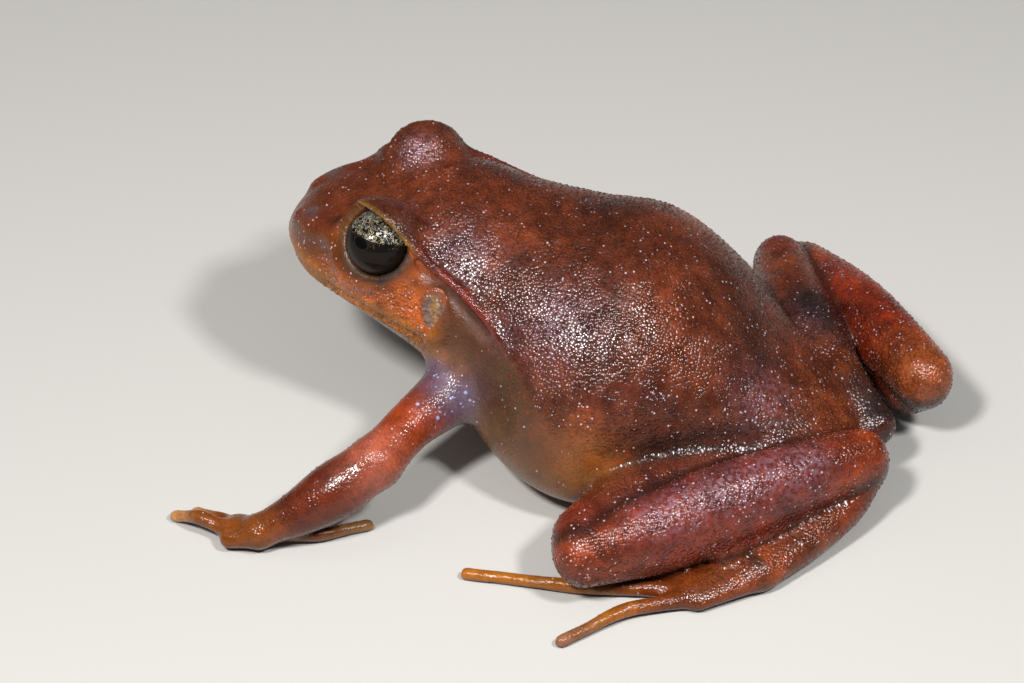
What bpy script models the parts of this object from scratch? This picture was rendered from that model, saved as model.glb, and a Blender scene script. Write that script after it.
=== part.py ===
# Life-size still model of a southern ground frog, resting on its four feet with its head raised.
# All sizes below are millimetres: +Z is up, the snout points to -Y, and the frog's left side is +X.
# The sole of every foot lies on the plane z = 0.

import math

import bmesh
import bpy
import numpy as np
from mathutils import Matrix, Vector

# Driving dimensions
MM = 0.001
GAP = 0.3                 # clearance between pieces that meet
SNOUT_Y = -19.7           # tip of the snout
VENT_Y = 19.6             # end of the body
SNOUT_CAP = 3.4           # length over which the snout rounds off
VENT_CAP = 4.6            # length over which the rump rounds off
EYE_CENTRE = (4.84, -12.16, 16.0)
EYE_RADIUS = 2.25
EYE_PUSH = 0.3            # how far the eyeball stands out of its lids
EYE_OUT = (0.79, -0.34, 0.51)   # the way the opening between the lids faces
LID_UP = (-0.628, 0.499, 0.597)  # the way the upper lid's edge faces
LID_RADIUS = 2.95
LID_EDGE = 0.75           # how far above the middle of the eye the upper lid ends
RIM_HEIGHT = 0.85         # how far out of the middle of the eye the rim of the lids lies
RIM_ROLL = 0.3
NOSTRIL = (1.75, -18.3, 14.9)
NOSTRIL_RADIUS = 0.32
EARDRUM = (7.1, -7.9, 12.7)
EARDRUM_SIZE = (0.9, 1.35)  # half length and half height
EARDRUM_THICKNESS = 0.6
LIP_ROLL = 0.32
LIP_CORNER_Y = -8.9
FOLD_RADIUS = 0.55
NECK_TOP = (-5.5, 15.0)   # y and z of a point on the slanting plane that parts head and torso
NECK_SLOPE = 0.46         # how far the plane runs forward for each millimetre down
TOE_RADIUS = 0.48
FINGER_RADIUS = 0.45
BODY_SIDES = 32
LIMB_SIDES = 14
TOE_SIDES = 6
LEG_SIDES = 16
SHANK_RINGS = 12
THIGH_RINGS = 11
BAR_RINGS = 9             # rings along an arm piece or a tarsus

# Body sections: y, x of the middle, half width, height of the widest line, rise, drop,
# and roundness above and below
BODY = (
    (-19.7, 0.0, 3.8, 13.2, 2.3, 1.6, 2.2, 2.2),
    (-17.0, 0.0, 4.7, 12.8, 3.3, 2.2, 2.2, 2.2),
    (-14.0, 0.0, 5.8, 12.3, 4.3, 3.0, 2.3, 2.2),
    (-11.0, -0.1, 6.8, 11.8, 5.6, 4.1, 2.4, 2.2),
    (-8.0, -0.2, 7.3, 10.9, 7.2, 5.4, 2.3, 2.2),
    (-4.5, 0.1, 8.9, 7.7, 9.9, 6.1, 2.1, 2.6),
    (0.0, 0.5, 10.8, 5.9, 11.2, 5.4, 2.0, 3.2),
    (5.0, 0.5, 11.0, 5.6, 11.3, 5.2, 2.0, 3.1),
    (10.0, 0.5, 8.2, 6.6, 7.3, 6.0, 2.0, 2.2),
    (15.0, 1.2, 5.2, 5.9, 3.1, 4.9, 2.0, 2.0),
    (19.6, 2.0, 3.4, 4.4, 1.8, 2.9, 2.0, 2.0),
)

# Line of the mouth, from the front of the snout to the corner of the jaw: y and z
MOUTH = ((-21.0, 12.9), (-18.5, 12.7), (-15.5, 12.1), (-12.5, 11.5), (-10.3, 10.9), (-8.4, 10.3))

# Ridge of skin from the rear of the eye, over the eardrum, towards the shoulder
FOLD = ((5.7, -9.8, 16.2), (6.7, -7.9, 15.2), (7.6, -5.6, 13.8), (8.4, -3.0, 11.9))

# Limb stations: x, y, z of the axis, then half width and half height across it
LEFT = {
    "upper_arm": ((5.8, -5.4, 7.6, 2.2, 2.4), (8.4, -6.7, 7.0, 1.9, 2.1),
                  (11.4, -8.3, 6.4, 1.6, 1.65), (14.0, -9.4, 5.6, 1.6, 1.7)),
    "forearm": ((14.4, -9.9, 5.3, 1.65, 1.7), (15.9, -11.8, 4.0, 1.9, 1.95),
                (17.2, -14.0, 2.6, 1.5, 1.5), (18.1, -16.1, 1.5, 1.1, 1.0)),
    "palm": ((18.2, -16.7, 1.2, 1.15, 0.95), (18.1, -18.1, 0.85, 1.5, 0.8)),
    "fingers": (((17.7, -16.2, 0.75), (16.7, -12.9, 0.65), (14.6, -10.1, 0.36)),
                ((17.6, -17.0, 0.75), (15.6, -16.2, 0.65), (13.6, -15.1, 0.36)),
                ((17.5, -17.7, 0.8), (16.9, -19.6, 0.55), (16.5, -21.3, 0.36)),
                ((18.2, -18.2, 0.9), (17.9, -20.5, 1.3), (17.2, -22.5, 0.36))),
    "thigh": ((4.2, 15.6, 3.7, 2.5, 2.7), (6.8, 12.4, 3.7, 2.8, 2.9), (9.8, 9.2, 3.9, 2.7, 2.8),
              (13.0, 6.4, 4.0, 2.4, 2.5), (15.9, 4.7, 4.0, 2.0, 2.1)),
    "shank": ((17.2, 5.1, 3.6, 1.9, 2.1), (14.4, 8.5, 3.8, 2.4, 2.8), (11.0, 12.7, 4.3, 2.5, 3.1),
              (7.4, 17.0, 4.8, 2.1, 2.6), (4.4, 20.2, 4.9, 1.8, 1.9)),
    "tarsus": ((4.3, 20.5, 4.0, 1.4, 1.5), (6.0, 19.9, 2.6, 1.4, 1.4),
               (8.9, 18.1, 1.7, 1.5, 1.4), (12.4, 15.7, 1.15, 1.5, 1.2)),
    "instep": ((13.0, 15.1, 1.0, 1.4, 1.05), (15.3, 11.7, 0.7, 1.8, 0.78)),
    "toes": (((13.2, 13.6, 0.7), (12.2, 12.0, 0.6), (11.2, 10.4, 0.38)),
             ((13.8, 13.0, 0.7), (13.0, 10.0, 0.6), (12.6, 7.4, 0.38)),
             ((14.4, 12.4, 0.7), (14.6, 8.2, 0.6), (15.0, 3.8, 0.38)),
             ((15.2, 12.0, 0.7), (16.7, 5.2, 0.6), (17.4, -2.6, 0.38)),
             ((15.8, 12.2, 0.7), (18.2, 8.2, 0.7), (21.8, 4.9, 0.38))),
}
RIGHT = {
    "upper_arm": ((-5.6, -5.4, 7.6, 2.2, 2.4), (-8.2, -6.5, 7.0, 1.9, 2.1),
                  (-11.0, -7.2, 6.4, 1.6, 1.65), (-13.4, -7.4, 5.6, 1.6, 1.7)),
    "forearm": ((-13.8, -7.9, 5.3, 1.65, 1.7), (-14.2, -10.0, 4.0, 1.9, 1.95),
                (-14.2, -12.4, 2.6, 1.5, 1.5), (-13.9, -14.5, 1.5, 1.1, 1.0)),
    "palm": ((-13.8, -15.1, 1.2, 1.15, 0.95), (-13.6, -16.5, 0.85, 1.5, 0.8)),
    "fingers": (((-13.4, -14.9, 0.75), (-11.8, -12.6, 0.65), (-10.9, -10.2, 0.36)),
                ((-13.0, -15.8, 0.75), (-11.6, -16.6, 0.65), (-10.2, -17.2, 0.36)),
                ((-13.5, -16.7, 0.9), (-13.2, -18.7, 1.3), (-12.8, -20.4, 0.36)),
                ((-14.2, -16.4, 0.8), (-15.3, -17.8, 0.9), (-16.4, -19.2, 0.36))),
    "thigh": ((-1.8, 16.8, 4.3, 2.5, 2.7), (-5.6, 15.0, 4.5, 2.8, 2.9), (-9.4, 13.2, 4.4, 2.7, 2.8),
              (-13.2, 11.6, 4.1, 2.3, 2.4), (-16.3, 10.4, 3.7, 1.9, 2.1)),
    "shank": ((-17.6, 12.0, 2.7, 1.9, 1.9), (-14.6, 14.5, 3.4, 2.2, 2.4), (-11.0, 17.2, 4.4, 2.3, 2.7),
              (-7.2, 20.2, 5.3, 2.1, 2.4), (-4.0, 22.7, 5.8, 2.0, 2.0)),
    "tarsus": ((-4.0, 22.8, 4.9, 1.4, 1.5), (-5.4, 21.6, 2.9, 1.4, 1.4),
               (-8.2, 19.4, 1.6, 1.5, 1.3), (-11.4, 16.6, 1.05, 1.5, 1.1)),
    "instep": ((-12.0, 16.0, 0.9, 1.4, 0.95), (-14.2, 12.6, 0.65, 1.8, 0.75)),
    "toes": (((-12.2, 14.5, 0.65), (-11.2, 12.9, 0.5), (-10.2, 11.3, 0.38)),
             ((-12.8, 13.9, 0.65), (-11.9, 10.9, 0.5), (-11.4, 8.3, 0.38)),
             ((-13.4, 13.3, 0.65), (-13.4, 9.1, 0.5), (-13.8, 4.7, 0.38)),
             ((-14.2, 12.9, 0.65), (-15.4, 6.1, 0.5), (-16.2, -1.7, 0.38)),
             ((-14.8, 13.1, 0.65), (-17.0, 8.9, 0.5), (-20.6, 5.6, 0.38))),
}

COLOURS = {
    "back": (0.20, 0.030, 0.018),
    "snout": (0.42, 0.12, 0.035),
    "limb": (0.36, 0.06, 0.02),
    "foot": (0.55, 0.20, 0.06),
    "eye": (0.06, 0.05, 0.03),
    "eardrum": (0.38, 0.26, 0.22),
}


# Numbers read from a few stations
def along(rows, at):
    """Reads a smooth curve through the rows at a value of their first column."""
    table = np.array(rows, float)
    knots, values = table[:, 0], table[:, 1:]
    slopes = np.gradient(values, knots, axis=0)
    i = int(np.clip(np.searchsorted(knots, at) - 1, 0, len(knots) - 2))
    step = knots[i + 1] - knots[i]
    t = (at - knots[i]) / step
    start = (1 + 2 * t) * (1 - t) ** 2 * values[i] + t * (1 - t) ** 2 * step * slopes[i]
    end = t * t * (3 - 2 * t) * values[i + 1] + t * t * (t - 1) * step * slopes[i + 1]
    return start + end


def even_stations(stations, count):
    """Spreads count stations evenly along the smooth path through the given ones."""
    points = np.array(stations, float)
    lengths = np.linalg.norm(np.diff(points[:, :3], axis=0), axis=1)
    reach = np.concatenate([[0.0], np.cumsum(lengths)])
    rows = np.column_stack([reach, points])
    return np.array([along(rows, s) for s in np.linspace(0, reach[-1], count)])


def superellipse(angle, roundness):
    power = 2.0 / roundness
    c, s = math.cos(angle), math.sin(angle)
    return math.copysign(abs(c) ** power, c), math.copysign(abs(s) ** power, s)


# Meshes
def new_mesh(name, points, faces):
    mesh = bpy.data.meshes.new(name)
    mesh.from_pydata([tuple(MM * float(v) for v in p) for p in points], [], faces)
    obj = bpy.data.objects.new(name, mesh)
    bpy.context.scene.collection.objects.link(obj)
    work = bmesh.new()
    work.from_mesh(mesh)
    bmesh.ops.recalc_face_normals(work, faces=work.faces)
    work.to_mesh(mesh)
    work.free()
    return obj


def skin_rings(name, rings, start, end):
    """Closes a row of rings, all with the same number of points, with a pole at each end."""
    sides = len(rings[0])
    points = [start] + [p for ring in rings for p in ring] + [end]
    last = len(points) - 1
    faces = []
    for k in range(sides):
        nxt = (k + 1) % sides
        faces.append((0, 1 + nxt, 1 + k))
        faces.append((last, last - sides + k, last - sides + nxt))
        for r in range(len(rings) - 1):
            a = 1 + r * sides
            faces.append((a + k, a + nxt, a + sides + nxt, a + sides + k))
    return new_mesh(name, points, faces)


def limb(name, stations, rings, sides=LIMB_SIDES, grow=0.0):
    """A round bar along the stations, with rounded ends."""
    rows = even_stations(stations, rings)
    centres = rows[:, :3]
    tangents = np.gradient(centres, axis=0)
    tangents /= np.linalg.norm(tangents, axis=1)[:, None]
    made = []

    def ring(centre, tangent, wide, high):
        side = np.cross(tangent, (0.0, 0.0, 1.0))
        side /= np.linalg.norm(side)
        up = np.cross(side, tangent)
        turns = [2 * math.pi * k / sides for k in range(sides)]
        made.append([centre + side * wide * math.cos(a) + up * high * math.sin(a) for a in turns])

    cap_angles = (65, 35)
    wide, high = rows[0, 3] + grow, rows[0, 4] + grow
    reach = min(wide, high)
    for angle in cap_angles:
        back, share = math.sin(math.radians(angle)), math.cos(math.radians(angle))
        ring(centres[0] - tangents[0] * reach * back, tangents[0], wide * share, high * share)
    start = centres[0] - tangents[0] * reach
    for centre, tangent, row in zip(centres, tangents, rows):
        ring(centre, tangent, row[3] + grow, row[4] + grow)
    wide, high = rows[-1, 3] + grow, rows[-1, 4] + grow
    reach = min(wide, high)
    for angle in reversed(cap_angles):
        back, share = math.sin(math.radians(angle)), math.cos(math.radians(angle))
        ring(centres[-1] + tangents[-1] * reach * back, tangents[-1], wide * share, high * share)
    return skin_rings(name, made, start, centres[-1] + tangents[-1] * reach)


def ball(name, centre, radii, segments=22, rings=13):
    mesh = bpy.data.meshes.new(name)
    work = bmesh.new()
    bmesh.ops.create_uvsphere(work, u_segments=segments, v_segments=rings, radius=1.0)
    sizes = Matrix.Diagonal((*(MM * r for r in radii), 1.0))
    bmesh.ops.transform(work, matrix=Matrix.Translation(Vector(centre) * MM) @ sizes, verts=work.verts)
    work.to_mesh(mesh)
    work.free()
    obj = bpy.data.objects.new(name, mesh)
    bpy.context.scene.collection.objects.link(obj)
    return obj


def facing(direction, centre):
    """A matrix whose Z axis looks along the direction, with its X axis level."""
    z = Vector(direction).normalized()
    x = Vector((-z.y, z.x, 0.0)).normalized()
    y = z.cross(x)
    turn = Matrix((x, y, z)).transposed().to_4x4()
    return Matrix.Translation(Vector(centre) * MM) @ turn


def disc(name, matrix, radii, low, high, segments=24, taper=1.0):
    """An oval plug between two heights along the matrix's Z axis, in millimetres."""
    mesh = bpy.data.meshes.new(name)
    work = bmesh.new()
    bmesh.ops.create_cone(work, cap_ends=True, segments=segments, radius1=1.0, radius2=taper, depth=1.0)
    sizes = Matrix.Diagonal((MM * radii[0], MM * radii[1], MM * (high - low), 1.0))
    middle = Matrix.Translation((0, 0, MM * (low + high) / 2))
    bmesh.ops.transform(work, matrix=matrix @ middle @ sizes, verts=work.verts)
    work.to_mesh(mesh)
    work.free()
    obj = bpy.data.objects.new(name, mesh)
    bpy.context.scene.collection.objects.link(obj)
    return obj


def hoop(name, matrix, radii, height, thick, segments=24, sides=7):
    """A rolled rim: a round bar bent round an oval."""
    points, faces = [], []
    for i in range(segments):
        a = 2 * math.pi * i / segments
        for j in range(sides):
            b = 2 * math.pi * j / sides
            out = thick * math.cos(b)
            spot = Vector(((radii[0] + out) * math.cos(a), (radii[1] + out) * math.sin(a),
                           height + thick * math.sin(b)))
            points.append((matrix @ (spot * MM)) / MM)
            i2, j2 = (i + 1) % segments, (j + 1) % sides
            faces.append((i * sides + j, i2 * sides + j, i2 * sides + j2, i * sides + j2))
    return new_mesh(name, points, faces)


def prism(name, outline, half_width):
    """A flat outline of y and z values, drawn out to both sides of the middle."""
    count = len(outline)
    points = [(x, y, z) for x in (-half_width, half_width) for y, z in outline]
    faces = [tuple(range(count)), tuple(range(2 * count - 1, count - 1, -1))]
    for k in range(count):
        nxt = (k + 1) % count
        faces.append((k, count + k, count + nxt, nxt))
    return new_mesh(name, points, faces)


# Cutting and joining
def boolean(obj, others, operation, solver="EXACT"):
    """Joins the others to the object, or cuts with them, and removes them."""
    group = bpy.data.collections.new("group")
    bpy.context.scene.collection.children.link(group)
    for other in others:
        bpy.context.scene.collection.objects.unlink(other)
        group.objects.link(other)
    step = obj.modifiers.new("join", "BOOLEAN")
    step.operation = operation
    step.operand_type = "COLLECTION"
    step.collection = group
    step.solver = solver
    graph = bpy.context.evaluated_depsgraph_get()
    made = bpy.data.meshes.new_from_object(obj.evaluated_get(graph))
    obj.modifiers.remove(step)
    obj.data = made
    for other in others:
        bpy.data.objects.remove(other)
    bpy.data.collections.remove(group)
    return obj


def keep_largest(obj):
    """Drops every closed surface but the largest."""
    work = bmesh.new()
    work.from_mesh(obj.data)
    left = set(work.faces)
    shells = []
    while left:
        first = left.pop()
        shell, queue = [first], [first]
        while queue:
            for edge in queue.pop().edges:
                for face in edge.link_faces:
                    if face in left:
                        left.discard(face)
                        shell.append(face)
                        queue.append(face)
        shells.append(shell)
    shells.sort(key=lambda shell: sum(face.calc_area() for face in shell))
    drop = [face for shell in shells[:-1] for face in shell]
    if drop:
        bmesh.ops.delete(work, geom=drop, context="FACES")
    work.to_mesh(obj.data)
    work.free()
    return obj


def copy_of(obj, name):
    twin = bpy.data.objects.new(name, obj.data.copy())
    bpy.context.scene.collection.objects.link(twin)
    return twin


def stand_on_floor(obj):
    """Trims the sole flat at z = 0."""
    reach = 60.0
    slab = prism("floor_cut", ((-reach, -5.0), (reach, -5.0), (reach, 0.0), (-reach, 0.0)), reach)
    return keep_largest(boolean(obj, [slab], "DIFFERENCE"))


# Body
def end_rounding(y):
    """How far the section has shrunk near the snout and the rump, from 0 at the tips to 1."""
    front = min(1.0, (y - SNOUT_Y) / SNOUT_CAP)
    back = min(1.0, (VENT_Y - y) / VENT_CAP)
    return math.sqrt(max(0.0, (1 - (1 - front) ** 2) * (1 - (1 - back) ** 2)))


def body_ring(y, grow):
    middle, wide, level, rise, drop, above, below = along(BODY, y)
    shrink = end_rounding(y)
    ring = []
    for k in range(BODY_SIDES):
        angle = 2 * math.pi * k / BODY_SIDES
        across, up = superellipse(angle, above if math.sin(angle) >= 0 else below)
        height = rise if up >= 0 else drop
        ring.append((middle + across * (wide * shrink + grow), y, level + up * (height * shrink + grow)))
    return ring


def body(name, grow=0.0):
    front = [SNOUT_Y + SNOUT_CAP * s for s in (0.02, 0.09, 0.22, 0.4, 0.62, 0.85)]
    middle = list(np.arange(SNOUT_Y + SNOUT_CAP + 0.4, VENT_Y - VENT_CAP, 1.6))
    back = [VENT_Y - VENT_CAP * s for s in (0.95, 0.75, 0.55, 0.36, 0.2, 0.08, 0.02)]
    places = front + middle + back
    stretch = 1 + 2 * grow / (VENT_Y - SNOUT_Y)
    centre = (VENT_Y + SNOUT_Y) / 2
    rings = []
    for y in places:
        ring = body_ring(y, grow)
        rings.append([(x, centre + (v - centre) * stretch, z) for x, v, z in ring])
    start = (along(BODY, SNOUT_Y)[0], SNOUT_Y - grow, along(BODY, SNOUT_Y)[2])
    end = (along(BODY, VENT_Y)[0], VENT_Y + grow, along(BODY, VENT_Y)[2])
    return skin_rings(name, rings, start, end)


def mirrored(point, side):
    return point[0] * side, point[1], point[2]


def lip_path(side):
    """The mouth line laid on the surface of the head, from the corner of one side to the front."""
    path = []
    for y in np.linspace(LIP_CORNER_Y, SNOUT_Y + 0.25, 13):
        wide, level, rise, drop, above, below = along(BODY, y)[1:]
        shrink = end_rounding(y)
        z = float(along(MOUTH, y)[0])
        up = min(0.98, abs(z - level) / ((rise if z >= level else drop) * shrink))
        roundness = above if z >= level else below
        across = wide * shrink * (1 - up ** roundness) ** (1 / roundness)
        path.append((side * across, y, z))
    return path


def lip_roll(name):
    """One rounded lip that runs along the mouth line from corner to corner."""
    left = lip_path(1)
    right = lip_path(-1)
    path = left + right[::-1]
    rows = [(x, y, z, LIP_ROLL, LIP_ROLL * 1.5) for x, y, z in path]
    return limb(name, rows, 36, sides=6)


def head_and_torso():
    """The whole body in one, then parted at the neck and along the mouth."""
    whole = body("body")
    extras = [lip_roll("lip_roll")]
    for side in (-1, 1):
        centre = mirrored(EYE_CENTRE, side)
        extras.append(ball("lid", centre, (LID_RADIUS, LID_RADIUS * 1.04, LID_RADIUS)))
        rows = [(*mirrored(p, side), FOLD_RADIUS, FOLD_RADIUS) for p in FOLD]
        extras.append(limb("fold", rows, 8, sides=7))
    whole = boolean(whole, extras, "UNION")
    reach = 40.0

    def neck_side(shift, far):
        """Everything to one side of the slanting neck plane, as an outline of y and z."""
        low, high = [(NECK_TOP[0] - (NECK_TOP[1] - z) * NECK_SLOPE + shift, z) for z in (-reach, reach)]
        return low, high, (far, reach), (far, -reach)

    behind = neck_side(-GAP / 2, reach)
    ahead = neck_side(GAP / 2, -2 * reach)
    front = copy_of(whole, "front")
    torso = boolean(whole, [prism("ahead", ahead, reach)], "DIFFERENCE")
    torso.name = "torso"
    boolean(front, [prism("behind", behind, reach)], "DIFFERENCE")

    def mouth_outline(shift):
        line = [(y, z + shift) for y, z in MOUTH]
        corner = (MOUTH[-1][0] + 6.0, MOUTH[-1][1] - 0.6 + shift)
        return line + [corner, (corner[0], 0.0), (MOUTH[0][0], 0.0)]

    jaw = copy_of(front, "lower_jaw")
    keep_largest(boolean(jaw, [prism("below_mouth", mouth_outline(-GAP / 2), reach)], "INTERSECT"))
    head = keep_largest(boolean(front, [prism("above_mouth", mouth_outline(GAP / 2), reach)], "DIFFERENCE"))
    head.name = "head"
    return head, jaw, keep_largest(torso)


def lid_cutter(name, centre, out, up):
    """Everything in front of the rim plane and under the edge of the upper lid."""
    along_lid = out.cross(up).normalized()
    into = up.cross(along_lid).normalized()
    if into.dot(out) < 0:
        into.negate()
    down = along_lid.cross(out).normalized()
    if down.dot(up) > 0:
        down.negate()
    reach = 6.0
    # The corner where the rim plane meets the plane of the upper lid's edge
    across = (LID_EDGE - RIM_HEIGHT * out.dot(up)) / down.dot(up)
    corner = centre + out * RIM_HEIGHT + down * across
    outline = [corner, corner + into * reach, corner + into * reach + down * reach, corner + down * reach]
    points = [tuple(p + along_lid * w) for w in (-reach, reach) for p in outline]
    faces = [(0, 1, 2, 3), (7, 6, 5, 4)] + [(k, 4 + k, 4 + (k + 1) % 4, (k + 1) % 4) for k in range(4)]
    return new_mesh(name, points, faces)


def face_details(head):
    """Opens the lids, sinks the nostrils and the eardrums, and makes the eyeballs and eardrums."""
    made = []
    openings, rims, cuts = [], [], []
    for side, word in ((1, "left"), (-1, "right")):
        out = Vector(mirrored(EYE_OUT, side)).normalized()
        up = Vector(mirrored(LID_UP, side)).normalized()
        centre = Vector(mirrored(EYE_CENTRE, side))
        eye_centre = centre + out * EYE_PUSH
        openings.append(lid_cutter("opening", centre, out, up))
        ring = math.sqrt(LID_RADIUS ** 2 - RIM_HEIGHT ** 2) - RIM_ROLL * 0.9
        rims.append(hoop("rim", facing(out, centre), (ring, ring), RIM_HEIGHT, RIM_ROLL))
        cuts.append(ball("socket", eye_centre, (EYE_RADIUS + GAP,) * 3))
        made.append(ball(f"eye_{word}", eye_centre, (EYE_RADIUS,) * 3))
        nose = facing((0.5 * side, -0.7, 0.5), mirrored(NOSTRIL, side))
        cuts.append(disc("nostril", nose, (NOSTRIL_RADIUS, NOSTRIL_RADIUS * 1.4), -0.8, 1.2, segments=10))
        ear = facing((side, -0.08, 0.18), mirrored(EARDRUM, side))
        recess = [r + GAP for r in EARDRUM_SIZE]
        cuts.append(disc("ear_cut", ear, recess, -EARDRUM_THICKNESS - GAP, 3.0))
        made.append(disc(f"eardrum_{word}", ear, EARDRUM_SIZE, -EARDRUM_THICKNESS, 0.05, taper=0.93))
    boolean(head, openings, "DIFFERENCE")
    boolean(head, rims, "UNION")
    keep_largest(boolean(head, cuts, "DIFFERENCE"))
    return made


# Limbs
def digit(name, points, radius):
    """A finger or toe: slim between the joints, with a rounded, slightly swollen tip."""
    start, middle, tip = (np.array(p, float) for p in points)
    rows = [(*start, radius * 1.5, radius * 1.4), (*((start + middle) / 2), radius * 1.15, radius * 1.15),
            (*middle, radius * 1.1, radius * 1.1), (*((middle + 2 * tip) / 3), radius * 0.9, radius * 0.9),
            (*tip, radius * 1.08, radius)]
    return limb(name, rows, 8, sides=TOE_SIDES)


def piece(pose, part, grow=0.0, name=None):
    """One round stretch of a limb, or the same stretch grown by the clearance, to cut with."""
    rings = {"shank": SHANK_RINGS, "thigh": THIGH_RINGS}.get(part, BAR_RINGS)
    sides = LEG_SIDES if part in ("shank", "thigh") else LIMB_SIDES
    return limb(name or "cut", pose[part], rings, sides=sides, grow=grow)


def clear_of(obj, pose, parts):
    """Cuts the object back until it clears the named stretches of the limb."""
    return keep_largest(boolean(obj, [piece(pose, part, GAP) for part in parts], "DIFFERENCE"))


def arm(pose, word, torso_grown):
    upper = piece(pose, "upper_arm", name=f"upper_arm_{word}")
    boolean(upper, [torso_grown], "DIFFERENCE")
    clear_of(upper, pose, ["forearm"])
    fore = piece(pose, "forearm", name=f"forearm_{word}")
    hand = limb(f"hand_{word}", pose["palm"], 5)
    boolean(hand, [digit("finger", p, FINGER_RADIUS) for p in pose["fingers"]], "UNION")
    clear_of(hand, pose, ["forearm"])
    return [upper, fore, stand_on_floor(hand)]


def leg(pose, word):
    shank = piece(pose, "shank", name=f"shank_{word}")
    thigh = clear_of(piece(pose, "thigh", name=f"thigh_{word}"), pose, ["shank"])
    tarsus = clear_of(piece(pose, "tarsus", name=f"tarsus_{word}"), pose, ["shank", "thigh"])
    foot = limb(f"foot_{word}", pose["instep"], 5)
    boolean(foot, [digit("toe", p, TOE_RADIUS) for p in pose["toes"]], "UNION")
    clear_of(foot, pose, ["tarsus", "shank", "thigh"])
    return [thigh, shank, stand_on_floor(tarsus), stand_on_floor(foot)]


def painted(obj, colour, roughness=0.35):
    material = bpy.data.materials.new(f"{obj.name}_{colour}")
    material.use_nodes = True
    shader = material.node_tree.nodes["Principled BSDF"]
    shader.inputs["Base Color"].default_value = (*COLOURS[colour], 1.0)
    shader.inputs["Roughness"].default_value = roughness
    shader.inputs["Metallic"].default_value = 0.0
    obj.data.materials.clear()
    obj.data.materials.append(material)
    obj.data.shade_smooth()
    obj.data.set_sharp_from_angle(angle=math.radians(50))


def centre_over_origin(objects):
    """Slides the whole frog level, so that the world's origin lies under the middle of its box."""
    corners = np.array([v.co for obj in objects for v in obj.data.vertices])
    middle = (corners.min(axis=0) + corners.max(axis=0)) / 2
    for obj in objects:
        obj.data.transform(Matrix.Translation((-middle[0], -middle[1], 0.0)))


def clear_scene():
    for obj in list(bpy.data.objects):
        bpy.data.objects.remove(obj)


def main():
    clear_scene()
    head, jaw, torso = head_and_torso()
    eyes_and_ears = face_details(head)
    pieces = []
    for word, pose in (("left", LEFT), ("right", RIGHT)):
        pieces += leg(pose, word)
        pieces += arm(pose, word, body("torso_grown", grow=GAP))
        clear_of(torso, pose, ["thigh", "shank"])
    for obj in (head, jaw):
        painted(obj, "snout")
    painted(torso, "back")
    for obj in eyes_and_ears:
        painted(obj, "eye" if obj.name.startswith("eye") else "eardrum", 0.12)
    for obj in pieces:
        painted(obj, "foot" if obj.name.startswith(("foot", "hand")) else "limb")
    centre_over_origin([head, jaw, torso] + eyes_and_ears + pieces)


main()
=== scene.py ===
# A life-size ground frog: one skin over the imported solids, with eyes, eardrums and granules of its own.
# Sizes in the tables are millimetres, with the snout towards -Y and the frog's left side at +X.
import math

import bpy
import numpy as np
import openvdb
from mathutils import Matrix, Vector


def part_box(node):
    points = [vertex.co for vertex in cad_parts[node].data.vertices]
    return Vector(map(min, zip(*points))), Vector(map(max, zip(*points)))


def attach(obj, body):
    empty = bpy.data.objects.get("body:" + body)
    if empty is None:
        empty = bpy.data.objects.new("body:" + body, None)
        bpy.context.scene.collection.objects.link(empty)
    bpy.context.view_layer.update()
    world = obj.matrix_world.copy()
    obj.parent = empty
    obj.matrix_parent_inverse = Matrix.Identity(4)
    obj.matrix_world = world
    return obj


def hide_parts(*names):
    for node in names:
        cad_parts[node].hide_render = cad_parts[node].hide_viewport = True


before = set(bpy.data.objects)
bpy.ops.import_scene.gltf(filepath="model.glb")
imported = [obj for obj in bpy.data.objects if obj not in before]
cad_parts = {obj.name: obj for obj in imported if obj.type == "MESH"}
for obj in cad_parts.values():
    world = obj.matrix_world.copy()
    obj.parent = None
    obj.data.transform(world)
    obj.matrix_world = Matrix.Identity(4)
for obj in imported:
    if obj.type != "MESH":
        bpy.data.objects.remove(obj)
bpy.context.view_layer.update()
mm = 0.001

eyes = {
    "centre": (4.84, -12.16, 16.0),                   # the left lid's middle; the right one is its mirror image
    "radius": 2.15, "shift": (-0.04, 0.236, -0.04),   # the shown ball, further back than its solid
    "push": (0.79, -0.34, 0.51), "pushed": 0.3,       # which way and how far the ball stands out of the lids
    "out": (0.80, -0.20, 0.55), "depth": 3.9,         # the way the opening faces, and how far round it is cut
    "up": (-0.628, 0.499, 0.597),                     # the way the upper lid's edge faces
    "lidEdge": 0.92, "lidArch": (0.35, 18.0),         # height of that edge over the eye's middle, and its arch
    "lidRadius": 2.95, "lidStretch": (1.0, 1.04, 1.0),
    "rim": 0.60, "rimRoll": 0.06, "rimIn": 0.45,      # the lower lid's rim: how far out, how thick, how far in
    "gaze": (0.838, -0.285, 0.495), "brow": (0.0, 0.2, 0.98),
    "pupil": (0.48, 0.38), "cornea": 0.1,            # half sizes of the pupil; how far the cornea bulges
    "gap": 0.02,                                      # between the ball and its socket
}


def unit(v):
    v = np.array(v, float)
    return v / np.linalg.norm(v)


def sided(point, side):
    return np.array((point[0] * side, point[1], point[2]), float)


def eyeSolid(side):
    return sided(eyes["centre"], side) + unit(sided(eyes["push"], side)) * eyes["pushed"]


def eyeball(side):
    return eyeSolid(side) + sided(eyes["shift"], side)


# The tables keep the frog's midline at x = 0. The left eye tells how far the solids were slid from there.
low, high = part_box("eye_left")
slide = (np.array(low) + np.array(high)) / 2 / mm - eyeSolid(1)
slide[2] = 0.0
print("tables slide by", slide.round(3), "mm")


def place(points):
    return (np.asarray(points, float) + slide) * mm


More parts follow.
